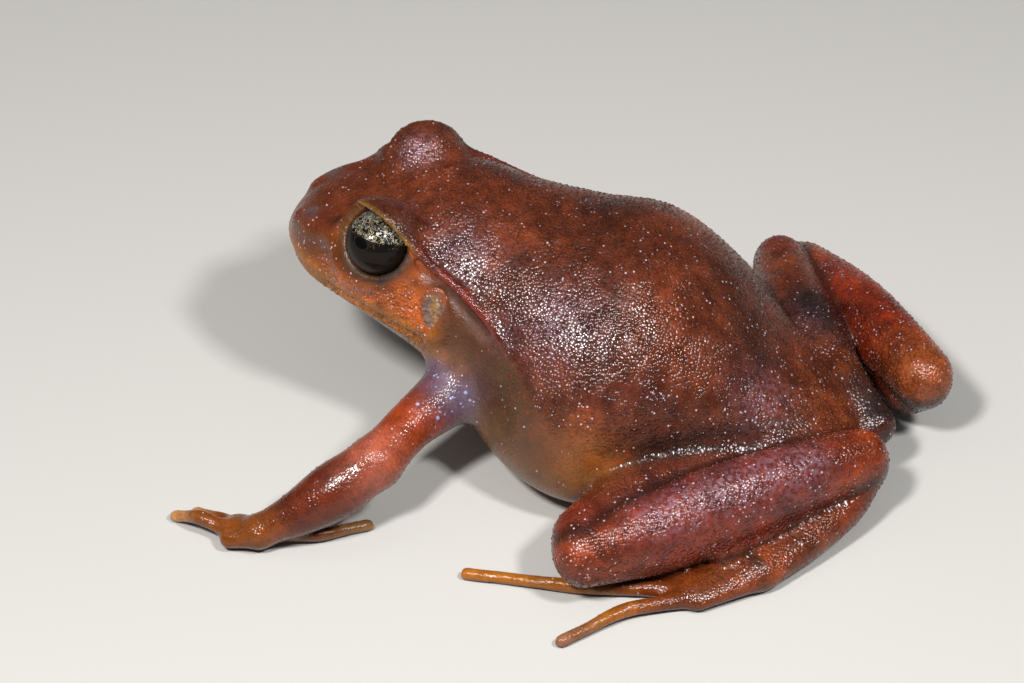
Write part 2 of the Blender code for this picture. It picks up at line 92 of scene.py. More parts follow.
# camera, floor and light
view = {"azimuth": 106.0, "elevation": 38.0, "distance": 220.0, "lens": 115.24, "sensor": 36.0,
        "target": (0.26, -4.46, 6.0)}
lamps = {
    # name: azimuth, elevation, distance in mm, side in mm, watts, colour
    "key": (79, 52, 240, 28, 0.66, (1.0, 0.97, 0.94)),
    "flash": (146, 52, 240, 26, 0.44, (1.0, 0.98, 0.96)),
    "fill": (112, 74, 330, 330, 0.15, (0.97, 0.98, 1.0)),
    "back": (20, 46, 340, 240, 0.07, (1.0, 0.98, 0.95)),
}
studio = {
    "floorReach": 3.0, "floorColour": (0.45, 0.445, 0.43, 1.0), "floorRoughness": 0.9,   # reach in metres
    "airColour": (0.92, 0.95, 1.0, 1.0), "airStrength": 0.08,
}


def viewAxes(azimuth, elevation):
    a, e = math.radians(azimuth), math.radians(elevation)
    back = Vector((math.sin(a) * math.cos(e), -math.cos(a) * math.cos(e), math.sin(e)))
    right = Vector((math.cos(a), math.sin(a), 0.0))
    return back, right, back.cross(right)


def aimed(name, data, azimuth, elevation, distance):
    # puts a camera or lamp at its distance from the target and turns it there
    target = Vector(place([view["target"]])[0])
    obj = bpy.data.objects.new(name, data)
    obj.location = target + viewAxes(azimuth, elevation)[0] * distance * mm
    obj.rotation_euler = (target - obj.location).to_track_quat("-Z", "Y").to_euler()
    bpy.context.scene.collection.objects.link(obj)
    return obj


def makeCamera():
    data = bpy.data.cameras.new("camera")
    data.lens, data.sensor_width, data.clip_start = view["lens"], view["sensor"], 5 * mm
    bpy.context.scene.camera = aimed("camera", data, view["azimuth"], view["elevation"], view["distance"])


def makeLamps():
    for name, (azimuth, elevation, distance, size, watts, colour) in lamps.items():
        data = bpy.data.lights.new(name, "AREA")
        data.shape, data.size = "SQUARE", size * mm
        data.energy, data.color = watts, colour
        aimed(name, data, azimuth, elevation, distance)


def makeFloor():
    mesh = bpy.data.meshes.new("floor")
    reach = studio["floorReach"]
    mesh.from_pydata([(-reach, -reach, 0), (reach, -reach, 0), (reach, reach, 0), (-reach, reach, 0)],
                     [], [(0, 1, 2, 3)])
    floor = bpy.data.objects.new("floor", mesh)
    bpy.context.scene.collection.objects.link(floor)
    mat = bpy.data.materials.new("paleFloor")
    mat.use_nodes = True
    shader = mat.node_tree.nodes["Principled BSDF"]
    shader.inputs["Base Color"].default_value = studio["floorColour"]
    shader.inputs["Roughness"].default_value = studio["floorRoughness"]
    mesh.materials.append(mat)
    world = bpy.data.worlds.new("studio")
    bpy.context.scene.world = world
    world.use_nodes = True
    air = world.node_tree.nodes["Background"].inputs
    air["Color"].default_value, air["Strength"].default_value = studio["airColour"], studio["airStrength"]
    bpy.context.scene.view_settings.view_transform = "Standard"


makeCamera()
makeLamps()
makeFloor()
print("camera, floor and lamps are set")

# the frog's shape: body sections and limb stations
body = {
    "snoutY": -19.7, "ventY": 19.6, "snoutCap": 3.4, "ventCap": 4.6, "sides": 96, "rings": 90,
    "pole": 0.035,                                    # how far the first ring is from the tip, in radians
    # y, x of the middle, half width, height of the widest line, rise, drop, roundness above and below
    "rows": (
        (-19.7, 0.0, 3.8, 13.2, 2.3, 1.6, 2.2, 2.2),
        (-17.0, 0.0, 4.7, 12.8, 3.3, 2.2, 2.2, 2.2),
        (-14.0, 0.0, 5.8, 12.3, 4.3, 3.0, 2.3, 2.2),
        (-11.0, -0.1, 6.8, 11.8, 5.6, 4.1, 2.4, 2.2),
        (-8.0, -0.2, 7.3, 10.9, 7.2, 5.4, 2.3, 2.2),
        (-4.5, 0.1, 8.9, 7.7, 9.9, 6.1, 2.1, 2.6),
        (0.0, 0.5, 10.8, 5.9, 11.2, 5.4, 2.0, 3.2),
        (5.0, 0.5, 11.0, 5.6, 11.3, 5.2, 2.0, 3.1),
        (10.0, 0.5, 8.2, 6.6, 7.3, 6.0, 2.0, 2.2),
        (15.0, 1.2, 5.2, 5.9, 3.1, 4.9, 2.0, 2.0),
        (19.6, 2.0, 3.4, 4.4, 1.8, 2.9, 2.0, 2.0),
    ),
    "mouth": ((-21.0, 12.9), (-18.5, 12.7), (-15.5, 12.1), (-12.5, 11.5), (-10.3, 10.9), (-8.4, 10.3)),
    "fold": ((5.6, -9.7, 16.7), (6.3, -8.0, 15.8), (6.8, -6.2, 14.8), (7.7, -4.0, 13.4), (9.0, -1.7, 11.6)),
    "canthus": ((4.6, -14.6, 15.4), (3.3, -16.9, 15.0), (1.9, -18.5, 14.6)),
    "vent": ((-3.0, 16.6, 5.4, 1.7, 1.7), (0.2, 20.4, 4.3, 1.35, 1.35)),
    "nostril": (2.35, -17.75, 15.6),
    "ear": (7.2, -7.75, 12.8), "earFacing": (1.0, -0.08, 0.18), "earSize": (1.05, 1.7),
}
limbs = {
    # x, y, z, half width and half height along each part
    "left": {
        "upperArm": ((5.8, -5.4, 7.6, 2.2, 2.4), (8.4, -6.7, 7.0, 1.9, 2.1),
                     (11.4, -8.3, 6.4, 1.6, 1.65), (14.0, -9.4, 5.6, 1.6, 1.7)),
        "forearm": ((14.4, -9.9, 5.3, 1.65, 1.7), (15.9, -11.8, 4.0, 1.9, 1.95),
                    (17.2, -14.0, 2.6, 1.5, 1.5), (18.1, -16.1, 1.5, 1.1, 1.0)),
        "palm": ((18.2, -16.4, 1.2, 1.1, 0.95), (18.1, -18.1, 0.85, 1.5, 0.8)),
        "thigh": ((4.2, 15.6, 3.7, 2.5, 2.7), (6.8, 12.4, 3.7, 2.8, 2.9), (9.8, 9.2, 3.9, 2.7, 2.8),
                  (13.0, 6.4, 4.0, 2.4, 2.5), (15.9, 4.7, 4.0, 2.0, 2.1)),
        "shank": ((17.2, 5.1, 3.6, 1.9, 2.1), (14.4, 8.5, 3.8, 2.4, 2.8), (11.0, 12.7, 4.3, 2.5, 3.1),
                  (7.4, 17.0, 4.8, 2.1, 2.6), (4.4, 20.2, 4.9, 1.8, 1.9)),
        "tarsus": ((4.3, 20.5, 4.0, 1.4, 1.5), (6.0, 19.9, 2.6, 1.4, 1.4),
                   (8.9, 18.1, 1.7, 1.5, 1.4), (12.4, 15.7, 1.15, 1.5, 1.2)),
        "instep": ((13.0, 15.1, 1.0, 1.4, 1.05), (15.3, 11.7, 0.7, 1.8, 0.78)),
        "web": ((12.9, 13.2, 2.1, 1.0, 0.9), (8.4, 17.6, 2.6, 1.0, 0.9)),
    },
    "right": {
        "upperArm": ((-5.6, -5.4, 7.6, 2.2, 2.4), (-8.2, -6.5, 7.0, 1.9, 2.1),
                     (-11.0, -7.2, 6.4, 1.6, 1.65), (-13.4, -7.4, 5.6, 1.6, 1.7)),
        "forearm": ((-13.8, -7.9, 5.3, 1.65, 1.7), (-14.2, -10.0, 4.0, 1.9, 1.95),
                    (-14.2, -12.4, 2.6, 1.5, 1.5), (-13.9, -14.5, 1.5, 1.1, 1.0)),
        "palm": ((-13.8, -14.8, 1.2, 1.1, 0.95), (-13.6, -16.5, 0.85, 1.5, 0.8)),
        "thigh": ((-1.8, 16.8, 4.3, 2.5, 2.7), (-5.6, 15.0, 4.5, 2.8, 2.9), (-9.4, 13.2, 4.4, 2.7, 2.8),
                  (-13.2, 11.6, 4.1, 2.3, 2.4), (-16.3, 10.4, 3.7, 1.9, 2.1)),
        "shank": ((-17.6, 12.0, 2.7, 1.9, 1.9), (-14.6, 14.5, 3.4, 2.2, 2.4), (-11.0, 17.2, 4.4, 2.3, 2.7),
                  (-7.2, 20.2, 5.3, 2.1, 2.4), (-4.0, 22.7, 5.8, 2.0, 2.0)),
        "tarsus": ((-4.0, 22.8, 4.9, 1.4, 1.5), (-5.4, 21.6, 2.9, 1.4, 1.4),
                   (-8.2, 19.4, 1.6, 1.5, 1.3), (-11.4, 16.6, 1.05, 1.5, 1.1)),
        "instep": ((-12.0, 16.0, 0.9, 1.4, 0.95), (-14.2, 12.6, 0.65, 1.8, 0.75)),
        "web": ((-11.2, 16.2, 2.2, 1.0, 0.9), (-7.8, 19.6, 2.8, 1.0, 0.9)),
    },
}
digits = {
    # root, middle and tip of each
    "radius": 0.48,
    "left": {
        "fingers": (((17.7, -16.2, 0.75), (16.7, -12.9, 0.65), (14.6, -10.1, 0.36)),
                    ((17.6, -17.0, 0.75), (15.6, -16.2, 0.65), (13.6, -15.1, 0.36)),
                    ((17.5, -17.7, 0.8), (16.9, -19.6, 0.55), (16.5, -21.3, 0.36)),
                    ((18.2, -18.2, 0.9), (17.9, -20.5, 1.3), (17.2, -22.5, 0.36))),
        "toes": (((13.2, 13.6, 0.7), (12.2, 12.0, 0.6), (11.2, 10.4, 0.38)),
                 ((13.8, 13.0, 0.7), (13.0, 10.0, 0.6), (12.6, 7.4, 0.38)),
                 ((14.4, 12.4, 0.7), (14.6, 8.2, 0.6), (15.0, 3.8, 0.38)),
                 ((15.2, 12.0, 0.7), (16.7, 5.2, 0.6), (17.4, -2.6, 0.38)),
                 ((15.8, 12.2, 0.7), (18.2, 8.2, 0.7), (21.8, 4.9, 0.38))),
    },
    "right": {
        "fingers": (((-13.4, -14.9, 0.75), (-11.8, -12.6, 0.65), (-10.9, -10.2, 0.36)),
                    ((-13.0, -15.8, 0.75), (-11.6, -16.6, 0.65), (-10.2, -17.2, 0.36)),
                    ((-13.5, -16.7, 0.9), (-13.2, -18.7, 1.3), (-12.8, -20.4, 0.36)),
                    ((-14.2, -16.4, 0.8), (-15.3, -17.8, 0.9), (-16.4, -19.2, 0.36))),
        "toes": (((-12.2, 14.5, 0.65), (-11.2, 12.9, 0.5), (-10.2, 11.3, 0.38)),
                 ((-12.8, 13.9, 0.65), (-11.9, 10.9, 0.5), (-11.4, 8.3, 0.38)),
                 ((-13.4, 13.3, 0.65), (-13.4, 9.1, 0.5), (-13.8, 4.7, 0.38)),
                 ((-14.2, 12.9, 0.65), (-15.4, 6.1, 0.5), (-16.2, -1.7, 0.38)),
                 ((-14.8, 13.1, 0.65), (-17.0, 8.9, 0.5), (-20.6, 5.6, 0.38))),
    },
}
face = {
    "lores": (5.9, -14.4, 14.0),                      # where the lid's swelling runs out most softly
    "canthusGirth": (0.5, 0.42, 0.3), "foldGirth": (0.38, 0.33, 0.30, 0.27, 0.16),
    "foldHollow": ((0.1, 0.1, -0.95), 0.5, 0.2),      # hollow under the fold: shift, reach, depth
    "dents": (                                        # place, reach, depth; a negative depth swells
        ((5.6, -16.3, 14.3), 1.6, 0.15),              # hollow between nostril and eye
        ((7.6, -8.2, 11.0), 1.4, -0.25),              # muscle at the corner of the jaw
        ((7.3, -8.9, 8.6), 1.3, -0.35),               # the loose skin of the throat
    ),
    "crown": ((0.0, -13.5, 17.0), 2.2, 0.35),         # flat between the eyes
    "lips": (0.6, -0.2), "mouthLine": (0.24, 0.42),   # reach, depth
    "nostrilPad": (0.6, -0.08), "nostrilHole": (0.26, 0.4), "holeShift": (0.25, -0.05, 0.1),
    "earDepth": 1.6, "earRing": (1.12, 0.2, 0.1),     # ring: share of the radius, width, height
    "earRecess": (0.95, 0.07, 0.16),                  # recess: share of the radius, softness, depth
}
softness = {
    # how softly two parts run into each other
    "canthus": 1.2, "fold": 0.5, "toes": 0.45, "tarsus": 1.0, "web": 0.5, "fingers": 0.4, "elbow": 1.0,
    "vent": 1.2, "opening": 0.3, "rim": 0.35, "socket": 0.12,
}
joints = {
    # how softly parts join: everywhere, how much more at the joint, and how far that reaches
    "lid": (1.0, 1.6, 2.4), "knee": (0.3, 1.5, 2.2), "heel": (0.25, 1.2, 2.0), "hip": (0.9, 1.8, 3.0),
    "wrist": (0.25, 0.9, 2.0), "shoulder": (0.5, 1.8, 4.5),
}


def along(rows, at):
    # a smooth curve through the rows, read off at one place
    table = np.array(rows, float)
    knots, values = table[:, 0], table[:, 1:]
    slopes = np.gradient(values, knots, axis=0)
    i = int(np.clip(np.searchsorted(knots, at) - 1, 0, len(knots) - 2))
    step = knots[i + 1] - knots[i]
    t = (at - knots[i]) / step
    start = (1 + 2 * t) * (1 - t) ** 2 * values[i] + t * (1 - t) ** 2 * step * slopes[i]
    end = t * t * (3 - 2 * t) * values[i + 1] + t * t * (t - 1) * step * slopes[i + 1]
    return start + end


def evenly(stations, count):
    points = np.array(stations, float)
    steps = np.linalg.norm(np.diff(points[:, :3], axis=0), axis=1)
    reach = np.concatenate([[0.0], np.cumsum(steps)])
    rows = np.column_stack([reach, points])
    return np.array([along(rows, s) for s in np.linspace(0, reach[-1], count)])


def ringsToShell(rings, start, end):
    # closes rings of points to a shell with a fan at each end
    sides = len(rings[0])
    points = np.vstack([[start], np.concatenate(rings), [end]]).astype(np.float32)
    last = len(points) - 1
    k = np.arange(sides)
    nxt = (k + 1) % sides
    caps = [np.column_stack([np.zeros_like(k), 1 + nxt, 1 + k]),
            np.column_stack([np.full_like(k, last), last - sides + k, last - sides + nxt])]
    strips = [np.column_stack([a + k, a + nxt, a + sides + nxt, a + sides + k])
              for a in range(1, 1 + (len(rings) - 1) * sides, sides)]
    return points, np.vstack(strips).astype(np.uint32), np.vstack(caps).astype(np.uint32)


def tube(rows, sides=28):
    # rows hold a place, a half width and a half height; both ends are rounded off
    rows = np.asarray(rows, float)
    centres = rows[:, :3]
    tangents = np.gradient(centres, axis=0)
    tangents /= np.linalg.norm(tangents, axis=1)[:, None]
    turn = np.linspace(0, 2 * math.pi, sides, endpoint=False)
    reach = rows[:, 3:5].min(axis=1)
    bends = np.radians((75, 55, 35, 15))
    stops = [(0, -a) for a in bends] + [(k, 0.0) for k in range(len(rows))] + [(-1, a) for a in bends[::-1]]
    rings = []
    for k, a in stops:
        side = unit(np.cross(tangents[k], (0.0, 0.0, 1.0)))
        up = np.cross(side, tangents[k])
        wide, tall = rows[k, 3:5] * math.cos(a)
        centre = centres[k] + tangents[k] * reach[k] * math.sin(a)
        rings.append(centre + np.outer(np.cos(turn) * wide, side) + np.outer(np.sin(turn) * tall, up))
    return ringsToShell(rings, centres[0] - tangents[0] * reach[0], centres[-1] + tangents[-1] * reach[-1])


def endRounding(y):
    front = min(1.0, (y - body["snoutY"]) / body["snoutCap"])
    back = min(1.0, (body["ventY"] - y) / body["ventCap"])
    return math.sqrt(max(0.0, (1 - (1 - front) ** 2) * (1 - (1 - back) ** 2)))


def trunk():
    # head and body as rings of rounded sections, closer together at both ends
    span = body["ventY"] - body["snoutY"]
    shares = (1 - np.cos(np.linspace(body["pole"], math.pi - body["pole"], body["rings"]))) / 2
    turn = np.linspace(0, 2 * math.pi, body["sides"], endpoint=False)
    c, s = np.cos(turn), np.sin(turn)
    rings = []
    for y in body["snoutY"] + span * shares:
        middle, wide, level, rise, drop, above, below = along(body["rows"], y)
        shrink = endRounding(y)
        power = np.where(s >= 0, 2 / above, 2 / below)
        across = np.sign(c) * np.abs(c) ** power
        up = np.sign(s) * np.abs(s) ** power
        height = np.where(up >= 0, rise, drop)
        rings.append(np.column_stack([middle + across * wide * shrink, np.full_like(c, y),
                                      level + up * height * shrink]))
    ends = []
    for y in (body["snoutY"], body["ventY"]):
        row = along(body["rows"], y)
        ends.append((row[0], y, row[2]))
    return ringsToShell(rings, *ends)


def digitRows(points):
    # a finger or toe: thick root, slimmer joint before a slightly swollen tip
    radius = digits["radius"]
    start, middle, tip = (np.array(p, float) for p in points)
    rows = [(*start, radius * 1.5, radius * 1.4), (*((start + middle) / 2), radius * 1.08, radius * 1.08),
            (*middle, radius * 1.04, radius * 1.02), (*((middle + 2 * tip) / 3), radius * 0.84, radius * 0.82),
            (*tip, radius * 0.92, radius * 0.84)]
    return evenly(rows, 22)


# fields: how far each point of a grid lies outside the skin
grid = {"voxel": 0.232, "low": (-23.0, -26.6, -1.6), "high": (23.6, 27.6, 20.6), "band": 8.0, "sole": 0.02}
cells = tuple(int(round((b - a) / grid["voxel"])) + 1 for a, b in zip(grid["low"], grid["high"]))
corner = tuple(int(round(a / grid["voxel"])) for a in grid["low"])
far = grid["band"] * grid["voxel"]
axes = [(np.arange(n) + c) * grid["voxel"] for n, c in zip(cells, corner)]
gx, gy, gz = here = [axis.astype(np.float32).reshape([-1 if k == j else 1 for j in range(3)])
                     for k, axis in enumerate(axes)]


def field(shell):
    points, quads, triangles = shell
    transform = openvdb.createLinearTransform(voxelSize=grid["voxel"])
    level = openvdb.FloatGrid.createLevelSetFromPolygons(
        points, triangles=triangles, quads=quads, transform=transform, halfWidth=grid["band"])
    out = np.empty(cells, np.float32)
    level.copyToArray(out, ijk=corner)
    return out


def limbField(rows, count):
    return field(tube(evenly(rows, count)))


def distanceTo(point, stretch=(1.0, 1.0, 1.0)):
    x, y, z = point
    return np.sqrt(((gx - x) / stretch[0]) ** 2 + ((gy - y) / stretch[1]) ** 2 + ((gz - z) / stretch[2]) ** 2)


def alongAxis(points, centre, axis):
    # how far points lie from a centre in one direction
    x, y, z = points
    return (x - centre[0]) * axis[0] + (y - centre[1]) * axis[1] + (z - centre[2]) * axis[2]


def halfSpace(normal, offset):
    n = unit(normal)
    return (gx * n[0] + gy * n[1] + gz * n[2] - offset).astype(np.float32)


def join(a, b, soft):
    share = np.clip(0.5 + 0.5 * (b - a) / soft, 0, 1)
    return b + (a - b) * share - soft * share * (1 - share)


def carve(a, b, soft):
    return -join(-a, b, soft)


def joinAt(a, b, joint, centre):
    base, extra, reach = joints[joint]
    return join(a, b, (base + extra * np.exp(-(distanceTo(centre) / reach) ** 2)).astype(np.float32))


def dent(a, away, reach, depth):
    # a dent where depth is positive, and a swelling where it is negative
    return a + (depth * np.exp(-(away / reach) ** 2)).astype(np.float32)


def lipPath(side):
    path = []
    for y in np.linspace(-8.6, body["snoutY"] + 0.22, 24):
        wide, level, rise, drop, above, below = along(body["rows"], y)[1:]
        shrink = endRounding(y)
        z = float(along(body["mouth"], y)[0])
        up = min(0.98, abs(z - level) / ((rise if z >= level else drop) * shrink))
        roundness = above if z >= level else below
        path.append((side * wide * shrink * (1 - up ** roundness) ** (1 / roundness), y, z))
    return path


def nearPath(path, reach):
    # distance to a row of points, worked out only close to them
    path = np.array(path, float)
    out = np.full(cells, 9.0, np.float32)
    fine = []
    for a, b in zip(path[:-1], path[1:]):
        n = max(2, int(np.linalg.norm(b - a) / 0.15))
        fine += [a + (b - a) * t for t in np.linspace(0, 1, n, endpoint=False)]
    for x, y, z in fine + [path[-1]]:
        spans = []
        for axis, value in zip(axes, (x, y, z)):
            i, j = np.searchsorted(axis, (value - reach, value + reach))
            spans.append(slice(max(0, i), max(1, j)))
        sx, sy, sz = spans
        away = np.sqrt((gx[sx] - x) ** 2 + (gy[:, sy] - y) ** 2 + (gz[:, :, sz] - z) ** 2)
        out[sx, sy, sz] = np.minimum(out[sx, sy, sz], away)
    return out


def headField():
    flesh = field(trunk())
    for side in (1, -1):
        lid = distanceTo(sided(eyes["centre"], side), eyes["lidStretch"]) - eyes["lidRadius"]
        flesh = joinAt(flesh, lid.astype(np.float32), "lid", sided(face["lores"], side))
        for ridge, count in (("canthus", 20), ("fold", 30)):
            rows = [(*sided(p, side), r, r) for p, r in zip(body[ridge], face[ridge + "Girth"])]
            flesh = join(flesh, limbField(rows, count), softness[ridge])
        shift, reach, depth = face["foldHollow"]
        under = nearPath([sided(np.add(p, shift), side) for p in body["fold"][:4]], 1.6)
        flesh = dent(flesh, under, reach, depth)
        for spot, reach, depth in face["dents"]:
            flesh = dent(flesh, distanceTo(sided(spot, side)), reach, depth)
    spot, reach, depth = face["crown"]
    return dent(flesh, distanceTo(spot), reach, depth)


def withDigits(flesh, points, soft):
    for bones in points:
        flesh = join(flesh, field(tube(digitRows(bones), 16)), soft)
    return flesh


def withLimbs(flesh, name):
    limb, own = limbs[name], digits[name]
    foot = withDigits(limbField(limb["instep"], 10), own["toes"], softness["toes"])
    foot = join(limbField(limb["tarsus"], 20), foot, softness["tarsus"])
    leg = joinAt(limbField(limb["thigh"], 30), limbField(limb["shank"], 30), "knee", limb["shank"][0][:3])
    leg = join(leg, limbField(limb["web"], 12), softness["web"])
    leg = joinAt(leg, foot, "heel", limb["tarsus"][0][:3])
    flesh = joinAt(flesh, leg, "hip", limb["thigh"][0][:3])
    hand = withDigits(limbField(limb["palm"], 8), own["fingers"], softness["fingers"])
    arm = join(limbField(limb["upperArm"], 20), limbField(limb["forearm"], 20), softness["elbow"])
    arm = joinAt(arm, hand, "wrist", limb["palm"][0][:3])
    return joinAt(flesh, arm, "shoulder", limb["upperArm"][0][:3])


def skinField():
    flesh = headField()
    for name in ("left", "right"):
        flesh = withLimbs(flesh, name)
        print("   ", name, "limbs joined")
    flesh = join(flesh, limbField(body["vent"], 8), softness["vent"])
    for side in (1, -1):
        flesh = faceDetail(flesh, side)
    # full lips, and the line of the mouth between them
    mouth = nearPath(lipPath(1) + lipPath(-1)[::-1], 1.2)
    flesh = dent(flesh, mouth - 0.1, *face["lips"])
    flesh = dent(flesh, mouth, *face["mouthLine"])
    return np.maximum(flesh, grid["sole"] - gz)   # flat soles on the floor


def earAxes(side):
    facing = unit(sided(body["earFacing"], side))
    across = unit(np.cross((0, 0, 1.0), facing))
    return across, np.cross(facing, across), facing


def overLidEdge(points, side):
    # height over the arched edge of the upper lid
    centre, up = sided(eyes["centre"], side), unit(sided(eyes["up"], side))
    sideways = alongAxis(points, centre, unit(np.cross(sided(eyes["out"], side), up)))
    rise, width = eyes["lidArch"]
    return alongAxis(points, centre, up) - eyes["lidEdge"] - rise + sideways ** 2 / width


def faceDetail(flesh, side):
    out, lidEdge = unit(sided(eyes["out"], side)), overLidEdge(here, side).astype(np.float32)
    centre = sided(eyes["centre"], side) + sided(eyes["shift"], side)
    # the opening: in front of the lower lid's rim and under the edge of the upper lid
    opening = np.maximum(-halfSpace(out, centre @ out + eyes["rim"]), lidEdge)
    opening = np.maximum(opening, (distanceTo(centre) - eyes["depth"]).astype(np.float32))
    flesh = carve(flesh, opening, softness["opening"])
    # the rolled rim of the lower lid
    height = halfSpace(out, centre @ out)
    across = np.sqrt(np.maximum(distanceTo(centre) ** 2 - height ** 2, 0))
    ring = math.sqrt(eyes["lidRadius"] ** 2 - eyes["rim"] ** 2) - eyes["rimIn"]
    rim = (np.sqrt((across - ring) ** 2 + (height - eyes["rim"]) ** 2) - eyes["rimRoll"]).astype(np.float32)
    flesh = join(flesh, np.maximum(rim, lidEdge - 0.3), softness["rim"])
    socket = (distanceTo(eyeball(side)) - eyes["radius"] - eyes["gap"]).astype(np.float32)
    flesh = carve(flesh, socket, softness["socket"])
    # nostril: a low pad with a small hole in it
    nose = sided(body["nostril"], side)
    flesh = dent(flesh, distanceTo(nose), *face["nostrilPad"])
    flesh = dent(flesh, distanceTo(nose + sided(face["holeShift"], side)), *face["nostrilHole"])
    # the ring round the eardrum, and the recess for the drum
    ear = sided(body["ear"], side)
    a, b, c = (alongAxis(here, ear, axis) for axis in earAxes(side))
    radial = np.sqrt((a / body["earSize"][0]) ** 2 + (b / body["earSize"][1]) ** 2)
    close = np.exp(-(c / face["earDepth"]) ** 2)
    share, width, tall = face["earRing"]
    flesh = flesh - (tall * close * np.exp(-((radial - share) / width) ** 2)).astype(np.float32)
    share, soft, depth = face["earRecess"]
    return flesh + (depth * close / (1 + np.exp((radial - share) / soft))).astype(np.float32)


def meshOf(values):
    level = openvdb.FloatGrid(far)
    level.copyFromArray(np.ascontiguousarray(np.clip(values, -far, far)), ijk=corner, tolerance=1e-5)
    level.transform = openvdb.createLinearTransform(voxelSize=grid["voxel"])
    points, quads = level.convertToQuads(0.0)
    return points.astype(float), quads.astype(np.int64)


def largestShell(points, quads):
    # leaves out the tiny bubbles inside the flesh
    label = np.arange(len(points))
    while True:
        fresh = label.copy()
        np.minimum.at(fresh, quads.ravel(), np.repeat(label[quads].min(axis=1), 4))
        fresh = fresh[fresh]
        if (fresh == label).all():
            break
        label = fresh
    main = label == np.bincount(label).argmax()
    number = np.cumsum(main) - 1
    return points[main], number[quads[main[quads[:, 0]]]]


def relaxed(points, quads, rounds=2, pull=0.5, push=1.04):
    # evens the mesh out: each round pulls it together and pushes it back by a little more
    ends = np.concatenate([quads[:, [0, 1]], quads[:, [1, 2]], quads[:, [2, 3]], quads[:, [3, 0]]])
    count = np.bincount(ends[:, 0], minlength=len(points)).astype(float)
    for k in range(rounds * 2):
        total = np.column_stack([np.bincount(ends[:, 0], weights=points[ends[:, 1], i], minlength=len(points))
                                 for i in range(3)])
        step = pull if k % 2 == 0 else -pull * push
        points = points + step * (total / count[:, None] - points)
    return points


def newMesh(name, points, *faceSets):
    mesh = bpy.data.meshes.new(name)
    mesh.vertices.add(len(points))
    mesh.vertices.foreach_set("co", place(points).astype(np.float32).ravel())
    corners = np.concatenate([np.asarray(f, np.int32).ravel() for f in faceSets])
    sizes = np.concatenate([np.full(len(f), np.shape(f)[1], np.int32) for f in faceSets])
    mesh.loops.add(len(corners))
    mesh.loops.foreach_set("vertex_index", corners)
    mesh.polygons.add(len(sizes))
    mesh.polygons.foreach_set("loop_start", np.concatenate([[0], np.cumsum(sizes)[:-1]]).astype(np.int32))
    mesh.update(calc_edges=True)
    mesh.shade_smooth()
    obj = bpy.data.objects.new(name, mesh)
    bpy.context.scene.collection.objects.link(obj)
    return obj


def keep(mesh, name, kind, values):
    layer = mesh.attributes.new(name, kind, "POINT")
    key = {"FLOAT": "value", "FLOAT_VECTOR": "vector", "FLOAT_COLOR": "color"}[kind]
    layer.data.foreach_set(key, np.ascontiguousarray(values, np.float32).ravel())


def finishPiece(obj, slot, *nodes):
    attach(obj, "root")
    if nodes:
        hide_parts(*nodes)
    print(obj.name + ":", len(obj.data.polygons), "faces")


# shader helpers, and the effects that several materials share
def addNode(tree, kind, inputs, **settings):
    made = tree.nodes.new(kind)
    for key, value in settings.items():
        setattr(made, key, value)
    for key, value in inputs.items():
        if isinstance(value, bpy.types.NodeSocket):
            tree.links.new(value, made.inputs[key])
        else:
            made.inputs[key].default_value = value
    return made


def wire(kind, inputs, **settings):
    # a shader node in the tree of the first socket that feeds it
    tree = next(v.id_data for v in inputs.values() if isinstance(v, bpy.types.NodeSocket))
    return addNode(tree, "ShaderNode" + kind, inputs, **settings)


def calc(operation, *values):
    return wire("Math", dict(enumerate(values)), operation=operation).outputs[0]


def times(a, b):
    return calc("MULTIPLY", a, b)


def plus(a, b):
    return calc("ADD", a, b)


def minus(a, b):
    return calc("SUBTRACT", a, b)


def mixed(share, under, over):
    return wire("Mix", {0: share, 6: under, 7: over}, data_type="RGBA").outputs[2]


def ramped(value, low, high, start=0.0, end=1.0, kind="SMOOTHSTEP"):
    inputs = {"Value": value, "From Min": low, "From Max": high, "To Min": start, "To Max": end}
    return wire("MapRange", inputs, interpolation_type=kind).outputs[0]


def noise(spot, scale, detail=2.0, **more):
    return wire("TexNoise", {"Vector": spot, "Scale": scale, "Detail": detail, **more}).outputs[0]


def parted(vector, kind="Color"):
    return wire("Separate" + kind, {0: vector}).outputs


def effect(name, outputs, **sizes):
    tree = bpy.data.node_groups.new(name, "ShaderNodeTree")
    for label, value in sizes.items():
        kind = label if label in ("Vector", "Color") else "Float"
        socket = tree.interface.new_socket(label, in_out="INPUT", socket_type="NodeSocket" + kind)
        if value is not None:
            socket.default_value = value
    for label in outputs:
        kind = "Color" if label == "Color" else "Float"
        tree.interface.new_socket(label, in_out="OUTPUT", socket_type="NodeSocket" + kind)
    given, result = tree.nodes.new("NodeGroupInput").outputs, tree.nodes.new("NodeGroupOutput").inputs
    return tree, given, lambda label, value: tree.links.new(value, result[label])


def cellsOf(given, randomness):
    scale = calc("DIVIDE", 1.0, given["Size"])
    return wire("TexVoronoi", {"Vector": given["Vector"], "Scale": scale, "Randomness": randomness}).outputs


def granulesEffect():
    # wet skin's close-set granules: their height, and the hollows between them
    tree, given, give = effect("granules", ("Height", "Hollow"), Vector=None, Size=0.0003)
    cell = cellsOf(given, 0.95)
    away = calc("DIVIDE", cell["Distance"], 0.8)
    dome = minus(1.0, times(away, away))
    give("Height", times(dome, ramped(parted(cell["Color"])[0], 0.0, 1.0, 0.75, 1.0)))
    give("Hollow", ramped(cell["Distance"], 0.4, 0.75))
    return tree


